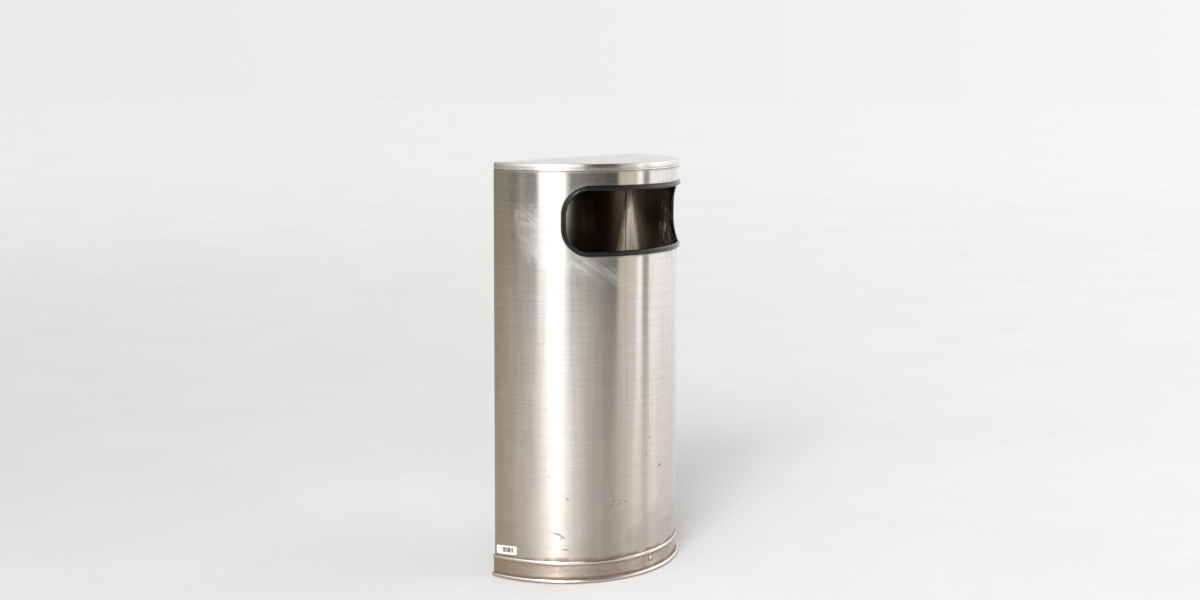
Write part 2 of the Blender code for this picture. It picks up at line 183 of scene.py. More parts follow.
class Solid:
    """Collects one piece's mesh. Every face gets UVs in metres."""

    def __init__(self, name):
        self.name = name
        self.bm = bmesh.new()
        self.uv = self.bm.loops.layers.uv.new("metres")

    def vert(self, x, y, z):
        return self.bm.verts.new((x, y, z))

    def face(self, verts, uvs, slot=0):
        face = self.bm.faces.new(verts)
        face.material_index = slot
        for loop, uv in zip(face.loops, uvs):
            loop[self.uv].uv = uv
        return face

    def flat(self, verts, slot=0):
        """A face whose UVs are its plan position."""
        return self.face(verts, [(v.co.x, v.co.y) for v in verts], slot)

    def skin(self, rings, runs, rises, closed_path=False, closed_ring=False, slots=None):
        """Quads between rings of vertices. runs and rises are the UVs along the path and round the ring."""
        for i in range(len(rings) - (not closed_path)):
            a, b = rings[i], rings[(i + 1) % len(rings)]
            for j in range(len(a) - (not closed_ring)):
                k = (j + 1) % len(a)
                uvs = rectangle(runs[i], runs[i + 1], rises[j], rises[j + 1])
                self.face((a[j], b[j], b[k], a[k]), uvs, slots[j] if slots else 0)

    def sweep(self, stations, profile, closed_path=False, closed_ring=False, shift=None, slots=None):
        """Carries an (out, z) profile along a path. shift(run, z) moves a point out by a little."""
        rings = []
        for s in stations:
            ring = []
            for out, z in profile:
                more = shift(s.run, z) if shift else 0.0
                point = s.point + s.out * (out + more)
                ring.append(self.vert(point.x, point.y, z))
            rings.append(ring)
        runs = [s.run for s in stations]
        if closed_path:
            runs.append(runs[-1] + (stations[0].point - stations[-1].point).length)
        self.skin(rings, runs, lengths(profile, closed_ring), closed_path, closed_ring, slots)
        if closed_ring and not closed_path:
            for ring in (rings[0], rings[-1]):
                self.flat(ring)
        return rings

    def plate(self, loop, slot=0, rings=4):
        """Fills a convex loop with rings of quads round its middle."""
        middle = sum((v.co for v in loop), Vector()) / len(loop)
        outer = list(loop)
        for ring in range(1, rings):
            share = 1 - ring / rings
            inner = [self.vert(*middle.lerp(v.co, share)) for v in loop]
            for i in range(len(loop)):
                k = (i + 1) % len(loop)
                self.flat((outer[i], outer[k], inner[k], inner[i]), slot)
            outer = inner
        centre = self.vert(*middle)
        for i in range(len(outer)):
            self.flat((outer[i], outer[(i + 1) % len(outer)], centre), slot)

    def turned(self, profile, segments=32, slot=0):
        """A solid turned about Z from (radius, z) points, the first and last on the axis."""
        steps = [2 * math.pi * k / segments for k in range(segments)]
        rings = [[self.vert(r * math.cos(t), r * math.sin(t), z) for r, z in profile[1:-1]] for t in steps]
        rises = lengths(profile[1:-1], False)
        widest = max(r for r, _ in profile)
        runs = [widest * t for t in steps] + [2 * math.pi * widest]
        self.skin(rings, runs, rises, closed_path=True)
        for end, (_, z) in ((0, profile[0]), (-1, profile[-1])):
            tip = self.vert(0, 0, z)
            for i in range(segments):
                self.flat((rings[i][end], rings[(i + 1) % segments][end], tip), slot)

    def finish(self, material, body, replaces, sharp=35):
        """Makes the object, with its faces pointing out, and hangs it on its body."""
        bmesh.ops.recalc_face_normals(self.bm, faces=self.bm.faces)
        mesh = bpy.data.meshes.new(self.name)
        self.bm.to_mesh(mesh)
        self.bm.free()
        mesh.shade_smooth()
        mesh.set_sharp_from_angle(angle=math.radians(sharp))
        for one in material if isinstance(material, list) else [material]:
            mesh.materials.append(one)
        obj = linked(self.name, mesh)
        weigh = obj.modifiers.new("weighted normals", "WEIGHTED_NORMAL")
        weigh.keep_sharp = True
        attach(obj, body)
        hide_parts(replaces)


def lengths(profile, closed):
    """Distance along a profile at each of its points, starting at its first height."""
    total = [profile[0][1]]
    ring = list(profile) + ([profile[0]] if closed else [])
    for a, b in zip(ring, ring[1:]):
        total.append(total[-1] + math.dist(a, b))
    return total


def rounded(points, radius, steps=4):
    """Replaces the inner corners of an open (out, z) line by arcs."""
    line = [Vector(p) for p in points]
    out = [tuple(line[0])]
    for before, corner, after in zip(line, line[1:], line[2:]):
        to_before = (before - corner).normalized()
        to_after = (after - corner).normalized()
        reach = min(radius, (before - corner).length * 0.49, (after - corner).length * 0.49)
        out += map(tuple, bent(corner + to_before * reach, corner, corner + to_after * reach, steps))
    out.append(tuple(line[-1]))
    return out


def wave(u, v, across, up, seed):
    """Smooth noise from -1 to 1, with this many cycles a metre round the body and up it."""
    return noise.noise(Vector((u * across, v * up, seed)))


def oil_can(u, z):
    """The slight waviness of thin sheet, mostly in long folds up the wall."""
    folds = 0.00014 * wave(u, z, 9, 4, 3.1) + 0.00012 * wave(u, z, 26, 2, 8.7)
    return folds + 0.00004 * wave(u, z, 60, 6, 1.3)


# ---------------------------------------------------------------- shader building
NOISE_TURN = (0.6, 0.35, 0.5)  # turns the noise's own lattice away from the grain


class Nodes:
    """Short ways to add nodes to a tree."""

    def __init__(self, tree):
        self.nodes = tree.nodes
        self.links = tree.links

    def feed(self, socket, value):
        if isinstance(value, bpy.types.NodeSocket):
            self.links.new(value, socket)
        elif isinstance(value, tuple) and socket.type == "RGBA":
            socket.default_value = (*value, 1)
        else:
            socket.default_value = value

    def node(self, kind, *values, **settings):
        """A node with its settings, and its inputs fed in order."""
        node = self.nodes.new(kind)
        for key, value in settings.items():
            setattr(node, key, value)
        for socket, value in zip(node.inputs, values):
            if value is not None:
                self.feed(socket, value)
        return node

    def math(self, operation, *values, clamp=False):
        return self.node("ShaderNodeMath", *values, operation=operation, use_clamp=clamp).outputs[0]

    def vector(self, operation, *values, output=0):
        return self.node("ShaderNodeVectorMath", *values, operation=operation).outputs[output]

    def scaled(self, color, factor):
        return self.vector("SCALE", color, None, None, factor)

    def length(self, vector):
        return self.vector("LENGTH", vector, output=1)

    def split(self, vector):
        """The parts of a vector along its axes."""
        return self.node("ShaderNodeSeparateXYZ", vector).outputs[:]

    def times(self, first, *others):
        for value in others:
            first = self.math("MULTIPLY", first, value)
        return first

    def most(self, first, *others):
        for value in others:
            first = self.math("MAXIMUM", first, value)
        return first

    def weighed(self, share, a, b):
        """This share of a and the rest of b."""
        return self.math("MULTIPLY_ADD", a, share, self.times(b, 1 - share))

    def span(self, value, low, high, to_low=0.0, to_high=1.0, smooth=True):
        """value taken from low..high to to_low..to_high, and held at the ends."""
        kind = "SMOOTHSTEP" if smooth else "LINEAR"
        made = self.node("ShaderNodeMapRange", value, low, high, to_low, to_high, interpolation_type=kind)
        return made.outputs[0]

    def stripe(self, value, low, high, soft, depth=1.0):
        """depth between low and high, fading to 0 over the last soft of each side."""
        rise = self.span(value, low, low + soft, 0.0, depth)
        return self.times(rise, self.span(value, high - soft, high, 1.0, 0.0))

    def mix(self, share, a, b):
        made = self.node("ShaderNodeMix", share, data_type="RGBA")
        self.feed(made.inputs[6], a)
        self.feed(made.inputs[7], b)
        return made.outputs[2]

    def ramp(self, share, stops):
        """A colour ramp through (position, colour) stops. A colour may be a single grey level."""
        made = self.node("ShaderNodeValToRGB", share)
        elements = made.color_ramp.elements
        elements.remove(elements[-1])
        for k, (position, color) in enumerate(stops):
            stop = elements[0] if k == 0 else elements.new(position)
            stop.position = position
            stop.color = (*color, 1) if isinstance(color, tuple) else (color, color, color, 1)
        return made.outputs[0]


class Shader(Nodes):
    """A Principled material, with the coordinates, noise and masks that drive it."""

    def __init__(self, name, color=(0.5, 0.5, 0.5), metallic=0.0, roughness=0.5, **constants):
        self.material = bpy.data.materials.new(name)
        self.material.use_nodes = True
        super().__init__(self.material.node_tree)
        self.principled = self.nodes["Principled BSDF"]
        self.set(base_color=color, metallic=metallic, roughness=roughness, **constants)

    def set(self, **inputs):
        """Feeds the Principled inputs of these names, and returns the material."""
        for key, value in inputs.items():
            name = key.replace("_", " ").title().replace("Ior", "IOR")
            self.feed(self.principled.inputs[name], value)
        return self.material

    @cached_property
    def uv(self):
        return self.node("ShaderNodeUVMap", uv_map="metres").outputs[0]

    @cached_property
    def face_axes(self):
        """Distances along U and V."""
        return self.split(self.uv)

    @cached_property
    def place(self):
        return self.node("ShaderNodeTexCoord").outputs["Object"]

    @cached_property
    def axes(self):
        """Distances along X, Y and Z: right of the middle, back from the middle and up from the floor."""
        return self.split(self.place)

    def turned(self, vector, degrees):
        made = self.node("ShaderNodeVectorRotate", vector, rotation_type="Z_AXIS")
        made.inputs["Angle"].default_value = math.radians(degrees)
        return made.outputs[0]

    def noise(self, scale, detail=3.0, rough=0.5, offset=(0, 0, 0), twist=0.0, turn=0.0):
        """Noise from 0 to 1, with (across, up) cycles a metre on the UVs, or this many a metre in space."""
        on_face = isinstance(scale, tuple)
        source = self.uv if on_face else self.place
        if turn:
            source = self.turned(source, turn)
        cycles = (*scale, 1.0) if on_face else (scale, scale, scale)
        place = self.node("ShaderNodeMapping", source, offset, NOISE_TURN, cycles)
        made = self.node("ShaderNodeTexNoise", place.outputs[0], noise_dimensions="3D")
        for name, value in (("Scale", 1.0), ("Detail", detail), ("Roughness", rough), ("Distortion", twist)):
            made.inputs[name].default_value = value
        return made.outputs["Fac"]

    def spot(self, degrees, height, wide, tall, tilt=0.0, soft=0.5, ragged=None):
        """1 inside an ellipse at an angle round the front and a height. ragged is noise for its edge."""
        off = self.vector("SUBTRACT", self.uv, (math.radians(degrees) * R, height, 0))
        off = self.vector("MULTIPLY", self.turned(off, -tilt), (2 / wide, 2 / tall, 0))
        far = self.length(off)
        if ragged is not None:
            far = self.math("ADD", far, self.span(ragged, 0.3, 0.7, -0.6, 0.6, smooth=False))
        return self.span(far, 1 - soft, 1 + soft, 1.0, 0.0)

    def bump(self, height, strength, distance):
        made = self.node("ShaderNodeBump")
        for name, value in (("Strength", strength), ("Distance", distance), ("Height", height)):
            self.feed(made.inputs[name], value)
        return made.outputs[0]


STEEL = (0.615, 0.60, 0.58)
STEEL_WARM = (0.58, 0.50, 0.435)
HAZED = (0.74, 0.74, 0.73)
# Colour of grime, also used for painted shade in creases, under rolls and in gaps
GRIME_AND_SHADE = (0.16, 0.10, 0.06)
RUST = (0.25, 0.14, 0.09)
BARE_ROUGHNESS = 0.19
GRAIN_RISE = 0.00001


def brushed(name, anisotropy=0.7):
    """Brushed stainless steel with its grain along U. Returns the shader, its fine and its broad grain."""
    shader = Shader(name, STEEL, metallic=1.0, anisotropic=anisotropy, anisotropic_rotation=0.25)
    tangent = shader.node("ShaderNodeTangent", direction_type="UV_MAP", uv_map="metres")
    shader.set(tangent=tangent.outputs[0])
    fine = shader.noise((28, 1500), detail=2, rough=0.6)
    middle = shader.noise((14, 430), detail=3, rough=0.65, offset=(3, 5, 1))
    broad = shader.noise((1.2, 70), detail=3, rough=0.55, offset=(7, 2, 4))
    return shader, shader.weighed(0.3, fine, middle), broad


def steel_finish(shader, grain, broad, grime_and_shade, haze, warm, rust=None, roughness=BARE_ROUGHNESS, tone=1.0):
    """Puts warmth, haze, grime and rust over the bare steel; the grime mask also carries painted shade. Each
    is a mask from 0 to 1.
    """
    mottle = shader.noise((420, 520), detail=3, rough=0.8, offset=(4, 8, 5))
    light = shader.times(
        shader.span(grain, 0.27, 0.73, 0.90, 1.09, smooth=False),
        shader.span(broad, 0.25, 0.75, 0.975, 1.025, smooth=False),
        shader.span(mottle, 0.25, 0.75, 0.95, 1.05, smooth=False),
        tone,
    )
    color = shader.scaled(shader.mix(warm, STEEL, STEEL_WARM), light)
    color = shader.mix(shader.times(haze, 0.6), color, HAZED)
    color = shader.mix(grime_and_shade, color, GRIME_AND_SHADE)
    rough = shader.math("MULTIPLY_ADD", grain, 0.08, shader.math("ADD", roughness, -0.04))
    rough = shader.math("MULTIPLY_ADD", haze, 0.25, rough)
    rough = shader.math("MULTIPLY_ADD", grime_and_shade, 0.30, rough, clamp=True)
    metal = shader.times(shader.span(haze, 0, 1, 1.0, 0.55), shader.span(grime_and_shade, 0, 1, 1.0, 0.5))
    if rust is not None:
        color = shader.mix(rust, color, RUST)
        rough = shader.most(rough, shader.times(rust, 0.8))
        metal = shader.times(metal, shader.span(rust, 0, 1, 1.0, 0.15))
    normal = shader.bump(grain, 0.12, GRAIN_RISE)
    return shader.set(metallic=metal, base_color=color, roughness=rough, normal=normal)


def outside_opening(shader):
    """Distance outside the opening's cut edge."""
    u, v = shader.face_axes[:2]
    past_u = shader.math("SUBTRACT", shader.math("ABSOLUTE", u), SLOT_STRAIGHT)
    off = shader.math("ABSOLUTE", shader.math("SUBTRACT", v, SLOT_Z))
    past_v = shader.most(shader.math("SUBTRACT", off, SLOT_UPRIGHT), 0.0)
    past_u = shader.most(past_u, 0.0)
    far = shader.math("MULTIPLY_ADD", past_u, past_u, shader.times(past_v, past_v))
    return shader.math("SUBTRACT", shader.math("SQRT", far), SLOT_CORNER)


# Patches wiped dull by the opening: (degrees round the front, height of the middle, width, rise, tilt)
WIPED = (
    (-69.5, 0.694, 0.060, 0.080, 15),
    (-66.0, 0.655, 0.070, 0.050, -25),
    (-42.0, 0.618, 0.100, 0.045, -22),
    (-30.0, 0.600, 0.090, 0.024, -30),
    (8.0, 0.600, 0.110, 0.030, -8),
)
# Rusted scratches and specks: (degrees round the front, height, length, thickness, tilt)
SCRATCHES = (
    (-56.3, 0.0985, 0.019, 0.0028, -16),
    (-53.6, 0.0925, 0.012, 0.0034, -24),
    (-54.6, 0.0895, 0.009, 0.0020, -8),
    (-52.4, 0.0675, 0.015, 0.0026, -2),
    (-32.4, 0.1500, 0.007, 0.0028, 4),
    (-29.4, 0.1495, 0.012, 0.0042, 12),
    (-28.2, 0.1590, 0.010, 0.0030, 10),
    (-25.4, 0.1520, 0.009, 0.0026, 4),
    (-25.0, 0.1590, 0.006, 0.0020, 0),
    (-21.5, 0.1550, 0.010, 0.0022, 8),
    (-51.3, 0.1680, 0.006, 0.0026, -30),
    (-60.4, 0.2120, 0.004, 0.0024, -20),
    (-6.0, 0.2740, 0.007, 0.0050, 30),
    (-8.2, 0.2410, 0.005, 0.0036, 0),
    (2.3, 0.2115, 0.011, 0.0026, 14),
    (-86.1, 0.5420, 0.006, 0.0046, 0),
)


def shell_grime_and_shade(shader, cloud, blotch):
    """Painted shadow under the lid, a dark line over the band, grime with painted contact shade round the
    opening's foot, darkening towards the floor, and grime in faint runs down the wall.
    """
    v = shader.face_axes[1]
    drip = shader.noise((150, 5), detail=3, rough=0.6, offset=(8, 3, 1))
    # Painted shadow: a dark line just under the lid's skirt, where the gap shades the wall.
    lid_gap_shadow = shader.span(v, SHELL_HIGH.z - 0.005, SHELL_HIGH.z - 0.001, 0.0, 0.35)
    # A dark line just over the band.
    over_band = shader.span(v, BAND_HIGH.z + 0.001, BAND_HIGH.z + 0.012, 0.75, 0.0)
    seams = shader.times(shader.most(lid_gap_shadow, over_band), shader.span(blotch, 0.3, 0.6, 0.35, 1.0))
    # Darker towards the floor.
    low = shader.times(shader.span(v, 0.04, 0.20, 0.22, 0.0), shader.span(cloud, 0.3, 0.7))
    runs = shader.times(shader.span(drip, 0.60, 0.78, 0.0, 0.14), shader.span(v, 0.30, 0.70, 0.4, 1.0))
    # Grime round the opening, with painted contact shade along the edging, stronger lower down.
    opening_grime_and_shade = shader.times(
        shader.span(outside_opening(shader), 0.0072, 0.0130, 0.45, 0.0),
        shader.span(v, SLOT_Z - 0.06, SLOT_Z + 0.06, 1.0, 0.3),
        shader.span(blotch, 0.35, 0.62, 0.25, 1.0),
    )
    foot = shader.spot(4, 0.055, 0.260, 0.100, soft=0.6, ragged=cloud)
    return shader.most(seams, low, runs, opening_grime_and_shade, shader.times(foot, 0.30))


def shell_haze(shader, cloud, blotch):
    """Wiped patches by the opening, a cleaner's film at the left, and wear that grows towards the floor."""
    swirl = shader.noise((40, 26), detail=5, rough=0.7, offset=(1, 4, 2), twist=0.5)
    wisp = shader.noise((14, 160), detail=6, rough=0.75, offset=(2, 6, 1), twist=0.15, turn=35)
    wisp = shader.weighed(0.6, wisp, swirl)
    patches = [shader.spot(*patch, soft=0.9, ragged=swirl) for patch in WIPED]
    wiped = shader.times(shader.most(*patches), shader.span(wisp, 0.34, 0.68, 0.08, 0.64))
    film = shader.spot(-70, 0.684, 0.056, 0.080, tilt=12, soft=0.5, ragged=blotch)
    film = shader.times(film, shader.span(wisp, 0.32, 0.68, 0.18, 0.52))
    height = shader.span(shader.face_axes[1], 0.10, 0.72, 0.24, 0.04)
    return shader.most(wiped, film, shader.times(height, shader.span(cloud, 0.35, 0.70, 0.3, 1.0)))


def shell_material():
    """The body's outside: duller and warmer towards the floor, with faint streaks and rusted scratches."""
    shader, grain, broad = brushed("shell steel")
    v = shader.face_axes[1]
    cloud = shader.noise((16, 11), detail=3, rough=0.5, offset=(2, 9, 3))
    blotch = shader.noise((46, 30), detail=4, rough=0.6, offset=(5, 1, 6))
    warm = shader.span(v, 0.05, 0.60, 0.60, 0.05)
    warm = shader.math("ADD", warm, shader.span(cloud, 0.3, 0.7, -0.1, 0.3), clamp=True)
    thin = shader.noise((105, 4.5), detail=3, rough=0.6, offset=(2, 0, 4))
    wide = shader.noise((30, 1.6), detail=4, rough=0.6, offset=(6, 0, 8))
    streaks = shader.times(shader.span(thin, 0.3, 0.7, 0.97, 1.025), shader.span(wide, 0.3, 0.7, 0.92, 1.06))
    chips = [shader.spot(*scratch, soft=0.5, ragged=blotch) for scratch in SCRATCHES]
    grime_and_shade, haze = shell_grime_and_shade(shader, cloud, blotch), shell_haze(shader, cloud, blotch)
    rough = shader.span(v, 0.20, 0.70, 0.25, 0.125)
    return steel_finish(shader, grain, broad, grime_and_shade, haze, warm, shader.most(*chips), rough, streaks)


def band_material():
    """The foot band: a dark line along the lip's top, grime with painted shade under the lip's roll and round
    the rivet, grime over the bead, painted contact shadow along the bead's underside, and rubbed high spots
    that also carry a painted highlight.
    """
    shader, grain, broad = brushed("band steel")
    z = shader.axes[2]
    blotch = shader.noise((30, 60), detail=5, rough=0.65, offset=(4, 4, 4))
    # Darker along the top edge of the lip.
    lip_top = shader.span(z, BAND_HIGH.z - 0.0018, BAND_HIGH.z - 0.0004, 0.0, 0.85)
    # Grime and painted shade under the lip's roll.
    lip_shade_and_grime = shader.stripe(z, 0.0325, 0.0385, 0.0014, 0.72)
    over_bead = shader.stripe(z, 0.0085, 0.0140, 0.0016, 0.85)
    lines_and_shade = shader.most(lip_top, lip_shade_and_grime, over_bead)
    lines_and_shade = shader.times(lines_and_shade, shader.span(blotch, 0.28, 0.58, 0.45, 1.0))
    web = shader.stripe(z, 0.009, 0.037, 0.004, 0.46)
    web = shader.times(web, shader.span(blotch, 0.36, 0.62, 0.15, 1.0))
    # Painted contact shadow along the underside of the bead.
    under = shader.span(z, 0.0022, 0.0042, 0.85, 0.0)
    # Painted shade round the rivet head, with grime.
    rivet_shade_and_grime = shader.spot(FRONT_RIVET + 0.2, BAND_LOW.z, 0.017, 10.0, soft=0.3)
    rivet_shade_and_grime = shader.times(rivet_shade_and_grime, shader.stripe(z, 0.0200, 0.0360, 0.002, 0.75))
    rusty = shader.times(shader.stripe(z, 0.0085, 0.0125, 0.0012, 0.8), shader.span(blotch, 0.40, 0.56))
    haze = shader.span(blotch, 0.35, 0.7, 0.0, 0.12)
    # Rubbed-clean steel along the lip's crown and the bead's top, also painted brighter as a highlight.
    rubbed_and_highlit = shader.most(shader.stripe(z, 0.0385, 0.0436, 0.0012), shader.span(z, 0.0070, 0.0082, 1.0, 0.0))
    warm = shader.span(rubbed_and_highlit, 0.0, 1.0, 1.0, 0.15)
    tone = shader.span(rubbed_and_highlit, 0.0, 1.0, 0.92, 1.22)
    grime_and_shade = shader.most(lines_and_shade, web, under, rivet_shade_and_grime)
    return steel_finish(shader, grain, broad, grime_and_shade, haze, warm, rusty, roughness=0.20, tone=tone)


def lid_material():
    shader, grain, broad = brushed("lid top steel")
    cloud = shader.noise((14, 14), detail=4, rough=0.55, offset=(6, 2, 2), twist=0.3)
    haze = shader.span(cloud, 0.35, 0.7, 0.12, 0.32)
    grime_and_shade = shader.span(cloud, 0.62, 0.8, 0.0, 0.12)
    return steel_finish(shader, grain, broad, grime_and_shade, haze, warm=0.05, roughness=0.26)


def skirt_material():
    """The lid's skirt, with brown grime along its hem."""
    shader, grain, broad = brushed("skirt steel")
    rise = shader.math("SUBTRACT", shader.axes[2], LID_LOW.z)
    blotch = shader.noise((26, 90), detail=4, rough=0.6, offset=(3, 8, 2))
    line = shader.times(shader.span(rise, 0.0022, 0.0034), shader.span(rise, 0.0036, 0.0070, 1.0, 0.0))
    grime_and_shade = shader.times(line, shader.span(blotch, 0.3, 0.6, 0.10, 0.5))
    haze = shader.span(blotch, 0.4, 0.7, 0.0, 0.16)
    return steel_finish(shader, grain, broad, grime_and_shade, haze, warm=0.10, roughness=0.21)


def inside_material(name, pale, dark, slope, panel=False):
    """The dull inside, stained and run with drips, with a painted highlight: a brighter wedge of this slope
    down each corner.
    """
    shader, grain, _ = brushed(name, anisotropy=0.85)
    streak = shader.noise((95, 2), detail=4, rough=0.65, offset=(2, 2, 9))
    drip = shader.noise((230, 34), detail=3, rough=0.6, offset=(9, 1, 3), twist=0.9)
    cloud = shader.noise((14, 10), detail=5, rough=0.6, offset=(3, 7, 7))
    stain = shader.weighed(0.6, streak, cloud)
    color = shader.mix(shader.span(stain, 0.35, 0.65), pale, dark)
    below = shader.math("SUBTRACT", SLOT_TOP - 0.012, shader.axes[2])
    across = shader.math("ABSOLUTE", shader.axes[0] if panel else shader.face_axes[0])
    from_corner = shader.math("SUBTRACT", across, R if panel else R * math.pi / 2)
    # Painted highlight: a pale wedge down each corner, wider and brighter lower down.
    painted_corner_highlight = shader.times(
        shader.span(shader.math("MULTIPLY_ADD", below, slope, from_corner), -0.004, 0.010),
        shader.span(below, 0.0, 0.07, 0.0, 1.0),
        shader.span(streak, 0.3, 0.7, 0.70, 1.0),
    )
    color = shader.mix(painted_corner_highlight, color, (0.95, 0.88, 0.79))
    if panel:
        # Painted reflection: the panel's left half, below the top of the opening, paler.
        painted_left_reflection = shader.span(shader.axes[0], 0.0, 0.035, 1.0, 0.0)
        painted_left_reflection = shader.times(painted_left_reflection, shader.span(below, 0.0, 0.03, 0.0, 0.8))
        color = shader.mix(painted_left_reflection, color, (0.86, 0.80, 0.73))
    splash = shader.spot(60, 0.662, 0.050, 0.080, soft=0.5, ragged=cloud)
    gold = shader.times(splash, shader.span(drip, 0.53, 0.60))
    rough = shader.math("ADD", shader.span(stain, 0.3, 0.7, 0.20, 0.28), shader.times(gold, 0.3))
    return shader.set(
        base_color=shader.mix(gold, color, (1.0, 0.88, 0.62)),
        metallic=shader.span(gold, 0, 1, 1.0, 0.0),
        roughness=rough,
        normal=shader.bump(grain, 0.35, 0.00005),
    )


def shell_inside_material():
    return inside_material("stained inside with painted highlight", (0.30, 0.26, 0.22), (0.16, 0.13, 0.105), 0.19)


def panel_inside_material():
    return inside_material("stained panel inside with painted light", (0.36, 0.32, 0.285), (0.22, 0.19, 0.165), 0.40, panel=True)


def panel_material():
    """The back: plain brushed sheet, with a column of faint spot welds near each edge."""
    shader, grain, broad = brushed("panel steel")
    u, v = shader.face_axes[:2]
    cloud = shader.noise((7, 5), detail=5, rough=0.6, offset=(2, 2, 2))
    scuff = shader.noise((9, 120), detail=3, rough=0.65, offset=(5, 6, 1), twist=0.5)
    haze = shader.most(shader.span(cloud, 0.35, 0.7, 0.1, 0.5), shader.span(scuff, 0.64, 0.72, 0.0, 0.6))
    edge = shader.math("MINIMUM", u, shader.math("SUBTRACT", PANEL_HIGH.x - PANEL_LOW.x, u))
    level = shader.math("SUBTRACT", shader.math("MODULO", v, WELD_PITCH), WELD_PITCH / 2)
    far = shader.math("POWER", shader.math("SUBTRACT", edge, WELD_INSET), 2.0)
    far = shader.math("SQRT", shader.math("MULTIPLY_ADD", level, level, far))
    weld = shader.span(far, 0.0016, 0.0030, 1.0, 0.0)
    halo = shader.span(far, 0.0025, 0.0060, 0.35, 0.0)
    steel_finish(shader, grain, broad, shader.times(halo, 0.5), haze, 0.2)
    height = shader.math("SUBTRACT", shader.times(grain, 0.1), weld)
    return shader.set(normal=shader.bump(height, 0.35, 0.0003))


def vinyl_material():
    """Black vinyl edging with drawn lines along it and a film of dust."""
    shader = Shader("black vinyl", specular_ior_level=0.42)
    line = shader.noise((2, 900), detail=2, rough=0.6)
    dust = shader.noise((40, 60), detail=5, rough=0.65, offset=(1, 5, 5))
    film = shader.span(dust, 0.50, 0.78, 0.0, 0.2)
    return shader.set(
        base_color=shader.mix(film, (0.004, 0.004, 0.005), (0.038, 0.036, 0.034)),
        roughness=shader.math("ADD", shader.span(line, 0.3, 0.7, 0.07, 0.12), shader.times(film, 0.4)),
        normal=shader.bump(line, 0.3, 0.0001),
    )


def galvanised_material():
    """Galvanised sheet: flat crystals of zinc, each with its own tone and gloss."""
    shader = Shader("galvanised sheet", metallic=0.95)
    place = shader.node("ShaderNodeMapping", shader.uv, None, None, (75, 75, 75))
    crystal = shader.node("ShaderNodeTexVoronoi", place.outputs[0], voronoi_dimensions="2D")
    tone = shader.node("ShaderNodeSeparateColor", crystal.outputs["Color"]).outputs[0]
    cloud = shader.noise((9, 9), detail=5, rough=0.6)
    color = shader.mix(tone, (0.40, 0.42, 0.44), (0.58, 0.60, 0.61))
    return shader.set(
        base_color=shader.mix(shader.span(cloud, 0.45, 0.75, 0.0, 0.5), color, (0.30, 0.27, 0.23)),
        roughness=shader.math("MULTIPLY_ADD", tone, 0.22, shader.span(cloud, 0.3, 0.7, 0.30, 0.50)),
    )


def wire_material():
    shader = Shader("galvanised wire", metallic=0.95)
    cloud = shader.noise(60, detail=4, rough=0.6)
    color = shader.mix(shader.span(cloud, 0.35, 0.7), (0.50, 0.51, 0.52), (0.33, 0.31, 0.28))
    return shader.set(base_color=color, roughness=shader.span(cloud, 0.3, 0.7, 0.32, 0.55))


def rivet_material():
    shader = Shader("dull rivet", metallic=0.75)
    cloud = shader.noise(400, detail=4, rough=0.6)
    color = shader.mix(shader.span(cloud, 0.45, 0.7, 0.0, 0.6), (0.60, 0.58, 0.55), (0.24, 0.18, 0.13))
    return shader.set(base_color=color, roughness=shader.span(cloud, 0.3, 0.7, 0.36, 0.50))


def rubber_material():
    shader = Shader("black rubber")
    grit = shader.noise(900, detail=3, rough=0.6)
    dust = shader.noise(70, detail=4, rough=0.6)
    film = shader.span(dust, 0.4, 0.7, 0.0, 0.4)
    return shader.set(
        base_color=shader.mix(film, (0.018, 0.018, 0.018), (0.10, 0.09, 0.08)),
        roughness=shader.span(grit, 0.3, 0.7, 0.66, 0.84),
        normal=shader.bump(grit, 0.3, 0.0002),
    )


def label_material(width, height):
    """White film with a block of blank bars and a faint block beside it. UVs start at its lower left corner.
    """
    shader = Shader("label film")
    u, v = shader.face_axes[:2]
    soft = 0.0002

    def block(left, right, low, high):
        """1 inside a rectangle given in shares of the label's width and height."""
        sides = shader.stripe(u, width * left - soft, width * right + soft, 2 * soft)
        return shader.times(sides, shader.stripe(v, height * low - soft, height * high + soft, 2 * soft))

    stripes = shader.noise((430, 0.01), detail=2, rough=0.7, offset=(4, 0, 0))
    bars = shader.times(block(0.30, 0.84, 0.24, 0.82), shader.span(stripes, 0.42, 0.50, 0.45, 1.0))
    ink = shader.most(bars, shader.times(block(0.16, 0.28, 0.40, 0.66), 0.35))
    dirt = shader.noise((90, 60), detail=5, rough=0.65)
    paper = shader.mix(shader.span(dirt, 0.45, 0.75, 0.0, 0.4), (0.80, 0.79, 0.75), (0.55, 0.48, 0.38))
    return shader.set(
        base_color=shader.mix(shader.times(ink, 0.92), paper, (0.035, 0.033, 0.030)),
        roughness=shader.span(dirt, 0.3, 0.7, 0.35, 0.55),
    )


# ---------------------------------------------------------------- the opening
def slot_edge(s):
    """Half height of the opening at a distance round the face from its middle, and of its ends past it."""
    past = min(max(abs(s) - SLOT_STRAIGHT, 0.0), SLOT_CORNER)
    return SLOT_UPRIGHT + math.sqrt(SLOT_CORNER**2 - past**2)


